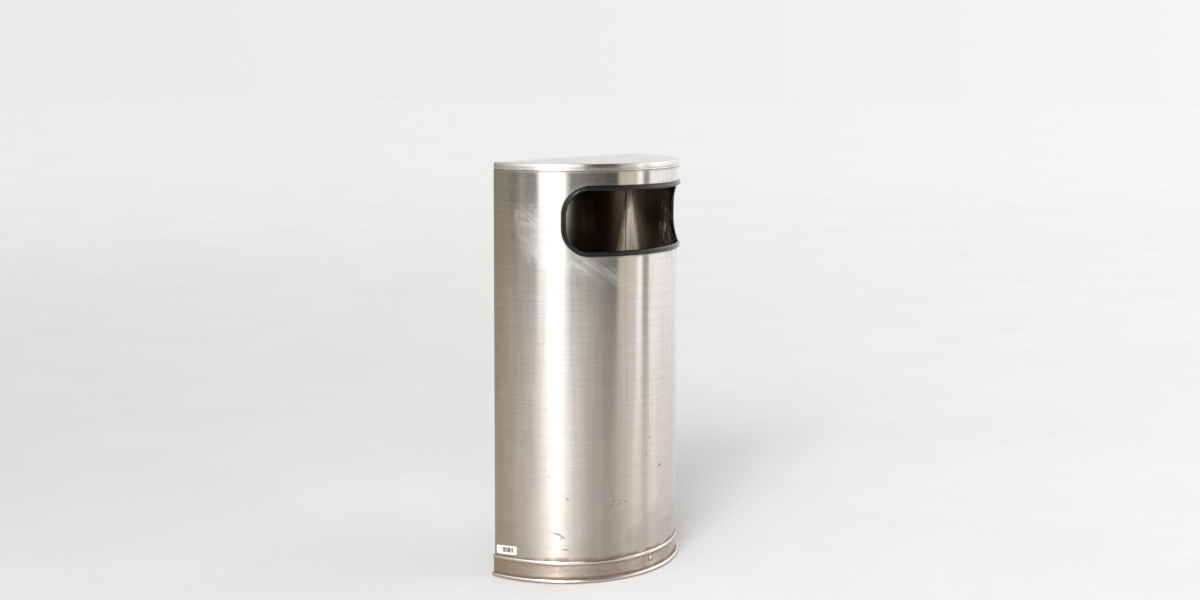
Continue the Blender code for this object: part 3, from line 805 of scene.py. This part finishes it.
def slot_outline():
    """The cut edge as ((distance round the face, height), out), counter-clockwise from the lower left."""
    count = round(2 * SLOT_STRAIGHT / (ARC * R))
    outline = []
    for side, level, start in ((-1, -1, 180), (1, -1, 270), (1, 1, 0), (-1, 1, 90)):
        centre = Vector((side * SLOT_STRAIGHT, SLOT_Z + level * SLOT_UPRIGHT))
        for k in range(19):
            turn = math.radians(start + 5 * k)
            out = Vector((math.cos(turn), math.sin(turn)))
            outline.append((centre + out * SLOT_CORNER, out))
        if side == level:
            edge = SLOT_Z + level * (SLOT_UPRIGHT + SLOT_CORNER)
            along = [side * SLOT_STRAIGHT * (1 - 2 * k / count) for k in range(1, count)]
            outline += [(Vector((s, edge)), Vector((0, level))) for s in along]
    return outline


def wrapped(spot, depth):
    """A point (distance round the face, height) on the body, moved out by depth."""
    plan = on_body(spot.x / R, R + depth)
    return plan.x, plan.y, spot.y


# ---------------------------------------------------------------- pieces
OUTSIDE, INSIDE = 0, 1
ROWS_BELOW = 14
ROWS_ABOVE = 3
CORNER_TURN = math.acos(FOLD / (R - FOLD))  # where the round wall meets its back fold


def shell_columns():
    """Distances round the face at which the wall is divided: an even grid, and closer at the slot's ends."""
    ends = [SLOT_STRAIGHT + SLOT_CORNER * math.sin(math.radians(5 * k)) for k in range(19)]
    limit = CORNER_TURN * R
    count = round(limit / (ARC * R))
    grid = [limit * k / count for k in range(count + 1)]
    half = sorted([s for s in grid if s < SLOT_STRAIGHT - 0.001 or s > SLOT_WIDTH / 2 + 0.001] + ends)
    return [-s for s in reversed(half) if s > 0] + half


def shell_wall(solid, columns):
    """Both faces of the round wall and its cut edges. Returns their columns of vertices."""

    def levels(s):
        """Heights up a column: the wall below the opening, then the wall above it."""
        half = slot_edge(s)
        low, high = SLOT_Z - half, SLOT_Z + half
        below = [SHELL_LOW.z + (low - SHELL_LOW.z) * k / ROWS_BELOW for k in range(ROWS_BELOW + 1)]
        return below + [high + (SHELL_HIGH.z - high) * k / ROWS_ABOVE for k in range(ROWS_ABOVE + 1)]

    def opened(i):
        return max(abs(columns[i]), abs(columns[i + 1])) <= SLOT_WIDTH / 2 + 1e-6

    layers = []
    for slot, depth in ((OUTSIDE, 0.0), (INSIDE, -SHEET)):
        layer = []
        for s in columns:
            layer.append([solid.vert(*wrapped(Vector((s, z)), depth + oil_can(s, z))) for z in levels(s)])
        for i in range(len(columns) - 1):
            for j in range(len(layer[i]) - 1):
                if j == ROWS_BELOW and opened(i):
                    continue
                corners = (layer[i][j], layer[i + 1][j], layer[i + 1][j + 1], layer[i][j + 1])
                across = (columns[i], columns[i + 1], columns[i + 1], columns[i])
                solid.face(corners, [(s, v.co.z) for s, v in zip(across, corners)], slot)
        layers.append(layer)
    outer, inner = layers
    for i in range(len(columns) - 1):
        edges = [0, len(outer[i]) - 1] + ([ROWS_BELOW, ROWS_BELOW + 1] if opened(i) else [])
        for j in edges:
            solid.flat((outer[i][j], outer[i + 1][j], inner[i + 1][j], inner[i][j]))
    for i, s in enumerate(columns):
        if abs(abs(s) - SLOT_WIDTH / 2) < 1e-6:
            low, high = ROWS_BELOW, ROWS_BELOW + 1
            solid.flat((outer[i][low], outer[i][high], inner[i][high], inner[i][low]))
    return layers


def shell_flange(solid, sign, edge, run):
    """Folds the wall's end in behind the back panel. edge is its (outer, inner) vertices up the wall."""
    centre = Vector(((R - FOLD) * math.sin(CORNER_TURN), BACK - SHEET - GAP - FOLD))
    turns = [CORNER_TURN + (math.pi - CORNER_TURN) * k / CORNER_STEPS for k in range(1, CORNER_STEPS + 1)]
    spots = [[centre + radial(a) * radius for radius in (FOLD, FOLD - SHEET)] for a in turns]
    spots.append([Vector((R - FLANGE, p.y)) for p in spots[-1]])
    heights = [outer.co.z for outer, _ in edge]
    last = edge
    for spot in spots:
        ring = [[solid.vert(sign * p.x, p.y, z) for p in spot] for z in heights]
        reached = last[0][0].co
        ahead = run + sign * (Vector((abs(reached.x), reached.y)) - spot[0]).length
        for slot in (OUTSIDE, INSIDE):
            for j in range(len(heights) - 1):
                corners = (last[j][slot], ring[j][slot], ring[j + 1][slot], last[j + 1][slot])
                solid.face(corners, rectangle(run, ahead, heights[j], heights[j + 1]), slot)
        for j in (0, -1):
            solid.flat((last[j][0], ring[j][0], ring[j][1], last[j][1]))
        last, run = ring, ahead
    for j in range(len(heights) - 1):
        solid.flat((last[j][0], last[j][1], last[j + 1][1], last[j + 1][0]))


def shell():
    """The round wall with its opening, and a return flange behind each back corner."""
    solid = Solid("shell")
    columns = shell_columns()
    outer, inner = shell_wall(solid, columns)
    for sign, end in ((-1, 0), (1, -1)):
        shell_flange(solid, sign, list(zip(outer[end], inner[end])), columns[end])
    solid.finish([shell_material(), shell_inside_material()], "bin", "front_shell")


def edging():
    """Black vinyl channel over the opening's cut edge: a soft round nose with a flat leg on each face."""
    solid = Solid("edging")
    # (along the face from the cut edge, out of the face): the outer leg, the nose, then the inner leg
    profile = (
        (0.0070, 0.0004), (0.0070, 0.0013), (0.0064, 0.0020), (0.0038, 0.0022), (0.0030, 0.0018),
        (0.0023, 0.0024), (0.0012, 0.0031), (-0.0002, 0.0033), (-0.0017, 0.0028), (-0.0028, 0.0015),
        (-0.0033, -0.0003), (-0.0030, -0.0018), (-0.0020, -0.0029), (-0.0003, -0.0036), (0.0020, -0.0038),
        (0.0045, -0.0035), (0.0064, -0.0026), (0.0070, -0.0012), (-0.0004, -0.0012), (-0.0004, 0.0004),
    )
    outline = slot_outline()
    rings = []
    runs = [0.0]
    for (spot, out), (after, _) in zip(outline, outline[1:] + outline[:1]):
        rings.append([solid.vert(*wrapped(spot + out * along, depth)) for along, depth in profile])
        runs.append(runs[-1] + (after - spot).length)
    solid.skin(rings, runs, lengths(profile, True), closed_path=True, closed_ring=True)
    solid.finish(vinyl_material(), "bin", "opening_trim", sharp=50)


def rear_panel():
    """Flat sheet across the back, with its lower edge stepped in behind the rivets."""
    solid = Solid("rear_panel")
    face, step = PANEL_HIGH.y, BAND_HIGH.z + 0.002
    bottom, top = PANEL_LOW.z, PANEL_HIGH.z
    outer = rounded([(-JOGGLE, bottom), (-JOGGLE, step - JOGGLE), (0, step), (0, top)], 0.0015)
    rise = [(0, step + (top - step) * k / 10) for k in range(1, 10)]
    back = outer[:-1] + rise + [outer[-1]]
    profile = back + [(out - SHEET, z) for out, z in reversed(back)]
    width, count = PANEL_HIGH.x, 32
    spots = [width - 2 * width * k / count for k in range(count + 1)]
    path = measured([Station(Vector((x, face)), Vector((0, 1))) for x in spots], 0.0)

    def dish(run, z):
        """The sheet lies a little hollow between its edges."""
        if z <= step + 0.01:
            return 0.0
        inset = min(run, 2 * width - run) / width
        return -0.0004 * max(0.0, min(1.0, inset * 3)) * (0.5 + 0.5 * wave(run, z, 5, 4, 5.5))

    slots = [OUTSIDE] * len(back) + [INSIDE] * len(back)
    solid.sweep(path, profile, closed_ring=True, shift=dish, slots=slots)
    solid.finish([panel_material(), panel_inside_material()], "bin", "back_panel")


def collar():
    """Ring inside the shell's top edge that stands up into the lid."""
    solid = Solid("collar")
    low, high = COLLAR_LOW.z, COLLAR_HIGH.z
    soft = 0.0003
    profile = [(0, low), (0, high - soft), (-soft, high)]
    profile += [(-SHEET + soft, high), (-SHEET, high - soft), (-SHEET, low)]
    path = half_round(SHEET + 2 * GAP, 2 * (SHEET + GAP), FOLD)
    solid.sweep(path, profile, closed_path=True, closed_ring=True)
    solid.finish(bpy.data.materials["stained inside with painted highlight"], "bin", "top_collar")


def foot_band():
    """Roll-formed band round the foot: a rounded lip, a flat web and a rolled bead with its hem tucked in."""
    solid = Solid("foot_band")
    bead_out = (BAND_HIGH.x - BAND_LOW.x) / 2 - R
    web = GAP + SHEET
    bead_z = BAND_LOW.z + BEAD
    lip_z = BAND_HIGH.z - BAND_LIP_TALL / 2
    profile = [(GAP, bead_z - 0.001), (GAP, BAND_HIGH.z - 0.0004)]
    profile += curl(GAP, lip_z, BAND_LIP_OUT - GAP, 90, -15, 10, tall=BAND_LIP_TALL / 2)
    profile += [(web, lip_z - BAND_LIP_TALL / 2 - 0.0006)]
    profile += [(web, bead_z + BEAD + 0.0040), (web + 0.0003, bead_z + BEAD + 0.0022)]
    profile += curl(bead_out - BEAD, bead_z, BEAD, 120, -15, 17)

    def dent(run, z):
        """Knocks and rolling marks."""
        return 0.00028 * wave(run, z, 22, 60, 2.2) + 0.00016 * wave(run, z, 70, 90, 6.1)

    path = arc_path(-math.pi / 2, math.pi / 2, R)
    solid.sweep(path, profile, closed_ring=True, shift=dent)
    solid.finish(band_material(), "bin", "base_band", sharp=40)


def tray():
    """Floor tray inside the foot of the shell."""
    solid = Solid("tray")
    floor, top = TRAY_LOW.z, TRAY_HIGH.z
    outer = rounded([(-0.004, floor), (0, floor), (0, top)], 0.0015)
    inner = rounded([(-SHEET, top), (-SHEET, floor + SHEET), (-0.004, floor + SHEET)], 0.0010)
    rings = solid.sweep(half_round(SHEET + GAP, JOGGLE + SHEET + GAP, 0.004), outer + inner, closed_path=True)
    solid.plate([r[0] for r in rings])
    solid.plate([r[-1] for r in rings])
    solid.finish(bpy.data.materials["stained inside with painted highlight"], "bin", "base_pan")


def lid():
    """Flat top with a rolled edge and a plain skirt, hemmed at the bottom."""
    solid = Solid("lid")
    low, high = LID_LOW.z, LID_HIGH.z
    edge, recess, lean = 0.0018, 0.00035, 0.0006
    inside = -recess - SHEET
    outer = curl(-recess - lean - edge, high - edge, edge, 90, -15, 7)
    outer += [(-recess - lean * 0.45, high - 0.0045), (-recess - lean * 0.12, high - 0.0080)]
    outer += [(-recess, low + 2 * HEM + 0.0012), (-recess * 0.6, low + 2 * HEM + 0.0004)]
    roll = curl(-HEM, low + HEM, HEM, 60, -20, 13)
    inner = [(inside, low + 2 * HEM + 0.0010), (inside - lean, high - SHEET - 0.0010)]
    inner += [(inside - lean - 0.0010, high - SHEET)]
    profile = list(reversed(outer + roll + inner))
    rings = solid.sweep(half_round(0, 0, FOLD + 0.0005), profile, closed_path=True)
    solid.plate([r[-1] for r in rings], slot=1, rings=14)
    solid.plate([r[0] for r in rings], slot=2)
    materials = [skirt_material(), lid_material(), bpy.data.materials["stained inside with painted highlight"]]
    solid.finish(materials, "lid", "lid_cap", sharp=40)


def label():
    """Film label with rounded corners, low down beside the back left corner."""
    solid = Solid("label")
    width, height, film = 0.046, 0.0172, 0.0003
    start = -math.radians(88.3) * R  # its left edge, just round the corner from the back
    middle = (LABEL_LOW.z + LABEL_HIGH.z) / 2
    tilt = math.radians(3.2)
    corner = 0.0022
    across, up = 20, 6

    def edge_inset(x):
        past = max(corner - x, x - (width - corner), 0.0)
        return corner - math.sqrt(max(corner**2 - past**2, 0.0))

    def on_face(x, y, depth):
        """A point of the film: x along it, y up it."""
        rise = y - height / 2
        s = start + x * math.cos(tilt) - rise * math.sin(tilt)
        z = middle + rise * math.cos(tilt) - (width / 2 - x) * math.sin(tilt)
        return wrapped(Vector((s, z)), depth)

    rounding = [0, corner * 0.13, corner * 0.5]
    straight = [corner + (width - 2 * corner) * k / across for k in range(across + 1)]
    spacing = rounding + straight + [width - x for x in reversed(rounding)]
    grids = []
    for depth in (GAP, GAP + film):
        grid = []
        for x in spacing:
            inset = edge_inset(x)
            rises = [inset + (height - 2 * inset) * k / up for k in range(up + 1)]
            grid.append([(solid.vert(*on_face(x, y, depth)), (x, y)) for y in rises])
        grids.append(grid)

    def face(*spots):
        solid.face([v for v, _ in spots], [uv for _, uv in spots])

    last = len(spacing) - 1
    for grid in grids:
        for i in range(last):
            for j in range(up):
                face(grid[i][j], grid[i + 1][j], grid[i + 1][j + 1], grid[i][j + 1])
    rim = [(i, 0) for i in range(last + 1)] + [(last, j) for j in range(1, up + 1)]
    rim += [(i, up) for i in range(last - 1, -1, -1)] + [(0, j) for j in range(up - 1, 0, -1)]
    for (i, j), (m, n) in zip(rim, rim[1:] + rim[:1]):
        face(grids[0][i][j], grids[0][m][n], grids[1][m][n], grids[1][i][j])
    solid.finish(label_material(width, height), "bin", "asset_label")


def stand(solid, place):
    """Moves the whole mesh to its place."""
    bmesh.ops.transform(solid.bm, matrix=place, verts=solid.bm.verts)


def rivet(name, node, body, out, head, rise, shank, stack):
    """A domed rivet head with its shank and set tail, where the CAD node is. out points out of the head."""
    low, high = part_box(node)
    solid = Solid(name)
    tail = -stack - 0.0003
    profile = [(0, -stack - 0.0014), (shank * 1.2, -stack - 0.0012), (shank * 1.55, tail), (shank, tail)]
    profile += [(shank, GAP), (head * 0.97, GAP), (head, GAP + rise * 0.14)]
    profile += curl(0, GAP + rise * 0.14, head, 18.25, 10.25, 7, tall=rise * 0.86) + [(0, GAP + rise)]
    solid.turned(profile, segments=28)
    top = (low + high) / 2 + out * ((stack + GAP + 0.0011 + GAP + rise) / 2)
    turn = out.to_track_quat("Z", "Y").to_matrix().to_4x4()
    stand(solid, Matrix.Translation(top - out * (GAP + rise)) @ turn)
    solid.finish(bpy.data.materials["dull rivet"], body, node, sharp=50)


def rivets():
    rivet_material()
    out = Vector((*radial(math.radians(FRONT_RIVET)), 0))
    rivet("front_rivet", "base_rivet_front", "bin", out, 0.0052, 0.0024, 0.0024, 3 * SHEET + 2 * GAP)
    for side, sign in (("left", -1), ("right", 1)):
        small = (0.0042, 0.0014, 0.002)
        node = f"base_rivet_back_{side}"
        rivet(f"back_rivet_{side}", node, "bin", Vector((0, 1, 0)), *small, 2 * SHEET + GAP)
        out = Vector((*radial(sign * math.radians(EAR_RIVETS)), 0))
        for level in ("upper", "lower"):
            name = f"bail_rivet_{side}_{level}"
            rivet(name, f"ear_rivet_{side}_{level}", "liner", out, *small, LINER_SHEET + GAP + 0.002)


def feet():
    """Moulded rubber feet: a ribbed edge, a soft rim and a barbed neck through the tray."""
    material = rubber_material()
    for row in ("front", "back"):
        for side in ("left", "right"):
            node = f"foot_{row}_{side}"
            low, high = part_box(node)
            radius, tall = (high.x - low.x) / 2, high.z - low.z
            neck, above = TRAY_LOW.z - GAP, TRAY_LOW.z + SHEET + GAP
            # (share of the radius, height) up the foot's side
            edge = (
                (0.86, 0), (0.94, 0.0004), (1, 0.0018), (0.985, 0.004), (0.985, 0.0055), (0.955, 0.0059),
                (0.955, 0.0066), (0.975, 0.0070), (0.94, TRAY_LOW.z - 0.0012), (0.88, neck),
            )
            profile = [(0, 0)] + [(radius * share, z) for share, z in edge]
            profile += [(0.0037, neck), (0.0037, above), (0.0056, above)]
            profile += [(0.0050, TRAY_LOW.z + SHEET + 0.0018), (0.0026, tall - 0.0002), (0, tall)]
            solid = Solid(f"rubber_{node}")
            solid.turned(profile, segments=40)
            stand(solid, Matrix.Translation(((low.x + high.x) / 2, (low.y + high.y) / 2, low.z)))
            solid.finish(material, "bin", node, sharp=40)


def liner():
    """Galvanised liner: wall with a rolled rim, and a bottom with a skirt. The CAD's ears stay."""
    sheet = galvanised_material()
    solid = Solid("liner")
    foot, top = LINER_LOW.z, LINER_HIGH.z
    rim = curl(RIM - LINER_SHEET, top - RIM, RIM, 180, -20, 15)
    rise = [foot + (top - RIM - foot) * k / 8 for k in range(8)]
    profile = [(-LINER_SHEET, z) for z in rise] + rim + [(0, top - 2 * RIM - 0.0004)]
    profile += [(0, z) for z in reversed(rise)]
    path = half_round(LINER_INSET, LINER_BACK, LINER_CORNER)
    solid.sweep(path, profile, closed_path=True, closed_ring=True, shift=lambda u, z: 0.5 * oil_can(u, z))
    solid.finish(sheet, "liner", "liner_wall", sharp=45)

    floor = Solid("liner_floor")
    top, low, lap = FLOOR_HIGH.z, FLOOR_LOW.z, -0.006
    outer = rounded([(0, low), (0, top), (lap, top)], 0.0016)
    under = top - LINER_SHEET
    inner = rounded([(lap, under), (-LINER_SHEET, under), (-LINER_SHEET, low)], 0.0010)
    inset = LINER_SHEET + GAP
    path = half_round(LINER_INSET + inset, LINER_BACK + inset, LINER_CORNER - inset)
    rings = floor.sweep(path, inner + outer, closed_path=True)
    floor.plate([r[0] for r in rings], rings=6)
    floor.plate([r[-1] for r in rings], rings=6)
    floor.finish(sheet, "liner", "liner_bottom", sharp=45)


def bail():
    """Wire handle: a hoop over the liner's rim, turned in through the ears at both ends."""
    depth = BACK - PIVOT.y
    end_x = math.sqrt(HOOP**2 - depth**2)
    start = math.atan2(end_x, depth) - 0.06

    def on_hoop(angle):
        return Vector((HOOP * math.sin(angle), depth - HOOP * math.cos(angle)))

    tip = Vector((0.171, 0))
    before, corner = Vector((end_x - 0.011, 0)), Vector((end_x + 0.001, 0))
    bend = bent(before, corner, on_hoop(start), 12)
    half = [tip] + bend + [on_hoop(start * (1 - k / 40)) for k in range(1, 40)]
    path = half + [on_hoop(0)] + [mirrored(p) for p in reversed(half)]
    solid = Solid("bail")
    sides = 16
    rings, runs = [], [0.0]
    for i, point in enumerate(path):
        ahead = path[min(i + 1, len(path) - 1)] - path[max(i - 1, 0)]
        across = Vector((ahead.y, -ahead.x)).normalized()
        ring = []
        for k in range(sides):
            t = 2 * math.pi * k / sides
            spot = point + across * (WIRE * math.cos(t))
            ring.append(solid.vert(spot.x, spot.y + PIVOT.y, PIVOT.z + WIRE * math.sin(t)))
        rings.append(ring)
        if i:
            runs.append(runs[-1] + (point - path[i - 1]).length)
    solid.skin(rings, runs, [2 * math.pi * WIRE * k / sides for k in range(sides + 1)], closed_ring=True)
    solid.flat(rings[0])
    solid.flat(rings[-1])
    zinc = wire_material()
    solid.finish(zinc, "bail", "liner_bail", sharp=50)
    for side in ("left", "right"):
        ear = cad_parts[f"liner_ear_{side}"]
        ear.data.materials.clear()
        ear.data.materials.append(zinc)


# ---------------------------------------------------------------- studio
CAMERA = Vector((-2.413, BACK - 1.8415, 0.9717))
FLOOR_TONE = 0.91
FLOOR_REACH = 60
# Painted light and shade: grey levels by heading from the camera, from -Y right round to -Y. The view spans
# 0.589 to 0.710.
BACKDROP = ((0.0, 0.875), (0.589, 0.825), (0.650, 0.855), (0.710, 0.92), (1.0, 0.875))
CLOSE_BY = ((0.0, 0.875), (0.589, 0.760), (0.650, 0.848), (0.710, 0.955), (1.0, 0.875))
# Painted shade: grey levels of the floor by distance from the camera, as a share of DEEP
DEEP = 16.0
GOING_BACK = ((0.16, 0.99), (0.19, 0.95), (0.27, 0.90), (0.40, 0.91), (0.60, 0.935), (1.0, 0.968))
# The studio's walls in three bands, low to high: (azimuth from -Y towards +X in degrees, brightness, warmth)
BRIGHTEST = 4.0
LOW_WALL = (
    (-180, 0.85, 0.0), (-150, 0.60, 0.3), (-125, 0.45, 1.0), (-113, 0.56, 0.8), (-105, 0.55, 0.6),
    (-97, 0.62, 0.4), (-89, 0.70, 0.3), (-81, 0.86, 0.1), (-74, 0.98, 0.0), (-66, 1.90, 0.0),
    (-57, 1.90, 0.0), (-51, 1.34, 0.0), (-43, 1.14, 0.1), (-35, 1.00, 0.2), (-27, 0.84, 0.2),
    (-11, 0.70, 0.3), (-3, 0.64, 0.3), (4, 0.80, 0.2), (15, 0.86, 0.2), (23, 0.92, 0.1),
    (26, 1.30, 0.0), (30.5, 1.30, 0.0), (32.5, 0.58, 0.2), (39, 0.58, 0.2), (45, 1.02, 0.1),
    (80, 0.74, 0.1), (110, 0.74, 0.0), (180, 0.85, 0.0),
)
WALL = (
    (-180, 0.85, 0.0), (-150, 0.60, 0.2), (-128, 0.28, 1.0), (-112, 0.27, 1.0), (-107, 0.17, 0.4),
    (-102, 0.18, 0.3), (-99, 0.32, 0.2), (-95, 0.32, 0.2), (-92, 0.20, 0.0), (-82, 0.17, 0.0),
    (-78, 2.1, 0.0), (-55, 2.1, 0.0), (-51, 0.90, 0.0), (-48, 0.10, 0.2), (-35, 0.17, 0.5),
    (-29, 0.14, 0.5), (-19, 0.14, 0.3), (-12, 0.10, 0.2), (-1, 0.09, 0.2), (3, 0.72, 0.6),
    (14, 0.82, 0.6), (22, 0.80, 0.3), (25, 1.65, 0.0), (30, 1.65, 0.0), (31.5, 0.45, 0.3),
    (38, 0.45, 0.3), (41, 1.55, 0.0), (59, 1.36, 0.0), (78, 1.20, 0.0), (110, 1.05, 0.0),
    (150, 0.90, 0.0), (180, 0.85, 0.0),
)
HIGH_WALL = (
    (-180, 0.85, 0.0), (-135, 0.50, 0.3), (-112, 1.35, 0.1), (-90, 2.6, 0.0), (-40, 2.8, 0.0),
    (-33, 0.42, 0.0), (-25, 0.12, 0.2), (-3, 0.06, 0.2), (8, 0.60, 0.3), (18, 1.00, 0.1),
    (30, 1.70, 0.0), (35, 2.70, 0.0), (40, 1.60, 0.0), (54, 2.60, 0.0), (72, 2.00, 0.0),
    (110, 1.05, 0.0), (180, 0.85, 0.0),
)
CEILING = (0.50, 0.50, 0.50)


def floor_material():
    """Painted studio floor, with painted light and shade by heading and distance from the camera, and faint
    scuffs.
    """
    shader = Shader("studio floor", roughness=0.9, specular_ior_level=0.0)
    stood = shader.vector("SUBTRACT", shader.place, (CAMERA.x, CAMERA.y, 0))
    away = shader.split(stood)
    heading = shader.span(shader.math("ARCTAN2", away[0], away[1]), -math.pi, math.pi, smooth=False)
    far = shader.length(stood)
    beside = shader.times(shader.span(far, 4.8, 11.0, 1.0, 0.0), shader.span(far, 3.0, 3.8))
    across = shader.mix(beside, shader.ramp(heading, BACKDROP), shader.ramp(heading, CLOSE_BY))
    deep = shader.ramp(shader.math("DIVIDE", far, DEEP), GOING_BACK)
    scuff = shader.noise(2.5, detail=7, rough=0.72)
    spots = shader.noise(14, detail=5, rough=0.7)
    grit = shader.noise(90, detail=4, rough=0.7)
    worn = shader.times(
        shader.span(scuff, 0.3, 0.7, 0.98, 1.015),
        shader.span(spots, 0.62, 0.74, 1.0, 0.96),
        shader.span(grit, 0.3, 0.7, 0.988, 1.01),
    )
    tone = shader.times(across, deep, worn, FLOOR_TONE)
    return shader.set(base_color=shader.node("ShaderNodeCombineColor", tone, tone, tone).outputs[0])


def studio_floor():
    bm = bmesh.new()
    turns = [2 * math.pi * k / 96 for k in range(96)]
    bm.faces.new([bm.verts.new((FLOOR_REACH * math.cos(t), FLOOR_REACH * math.sin(t), 0)) for t in turns])
    mesh = bpy.data.meshes.new("studio_floor")
    bm.to_mesh(mesh)
    bm.free()
    mesh.materials.append(floor_material())
    obj = linked("studio_floor", mesh)
    obj.visible_glossy = False


def studio():
    """Soft walls for the steel to mirror: a bright window beside the camera and a dark room behind it."""
    world = bpy.data.worlds.new("studio")
    bpy.context.scene.world = world
    world.use_nodes = True
    tree = Nodes(world.node_tree)
    tree.nodes.clear()
    right, back, up = tree.split(tree.node("ShaderNodeTexCoord").outputs["Generated"])

    def turn(azimuth):
        return tree.span(azimuth, -math.pi, math.pi, smooth=False)

    azimuth = turn(tree.math("ARCTAN2", right, tree.times(back, -1.0)))

    def wall(stops):
        """Brightness round the room, with warmer stops redder and less blue."""
        colors = []
        for degrees, bright, warmth in stops:
            level = bright / BRIGHTEST
            color = (level * (1 + 0.18 * warmth), level * (1 - 0.01 * warmth), level * (1 - 0.26 * warmth))
            colors.append(((degrees + 180) / 360, color))
        return tree.ramp(azimuth, colors)

    slope = tree.math("MULTIPLY_ADD", right, 0.05, up)
    walls = tree.mix(tree.span(slope, -0.220, -0.100), wall(LOW_WALL), wall(WALL))
    walls = tree.mix(tree.span(up, -0.02, 0.22), walls, wall(HIGH_WALL))
    lit = tree.mix(tree.span(up, 0.45, 0.80), tree.scaled(walls, BRIGHTEST), CEILING)
    # Painted light: the backdrop seen straight by the camera, grey by heading.
    paper = tree.ramp(turn(tree.math("ARCTAN2", right, back)), BACKDROP)
    seen = tree.mix(tree.node("ShaderNodeLightPath").outputs["Is Camera Ray"], lit, paper)
    background = tree.node("ShaderNodeBackground", seen, 1.0)
    tree.node("ShaderNodeOutputWorld", background.outputs[0])
    bpy.context.scene.view_settings.view_transform = "Standard"


def softbox():
    """The bright window's light on the floor, which throws the bin's soft shadow back and to the right."""
    azimuth, height = math.radians(-70), math.radians(34)
    data = bpy.data.lights.new("softbox", "SUN")
    data.energy = 1.80
    data.angle = 0.38
    obj = linked("softbox", data)
    source = Vector((*(radial(azimuth) * math.cos(height)), math.sin(height)))
    obj.rotation_mode = "QUATERNION"
    obj.rotation_quaternion = (-source).to_track_quat("-Z", "Y")


def camera():
    """Stands to the bin's left front, a little above its top, and looks slightly down past it."""
    data = bpy.data.cameras.new("camera")
    data.sensor_width = 36
    data.lens = 45.05
    data.clip_end = 200
    obj = linked("camera", data)
    yaw, pitch, roll = 0.94208, -0.14670, 0.0065
    ahead = Vector((math.sin(yaw) * math.cos(pitch), math.cos(yaw) * math.cos(pitch), math.sin(pitch)))
    level = Vector((math.cos(yaw), -math.sin(yaw), 0))
    above = level.cross(ahead)
    right = level * math.cos(roll) + above * math.sin(roll)
    up = above * math.cos(roll) - level * math.sin(roll)
    turn = Matrix((right, up, -ahead)).transposed().to_4x4()
    obj.matrix_world = Matrix.Translation(CAMERA) @ turn
    bpy.context.scene.camera = obj


camera()
studio_floor()
studio()
softbox()
shell()
edging()
rear_panel()
collar()
foot_band()
tray()
lid()
label()
rivets()
feet()
liner()
bail()
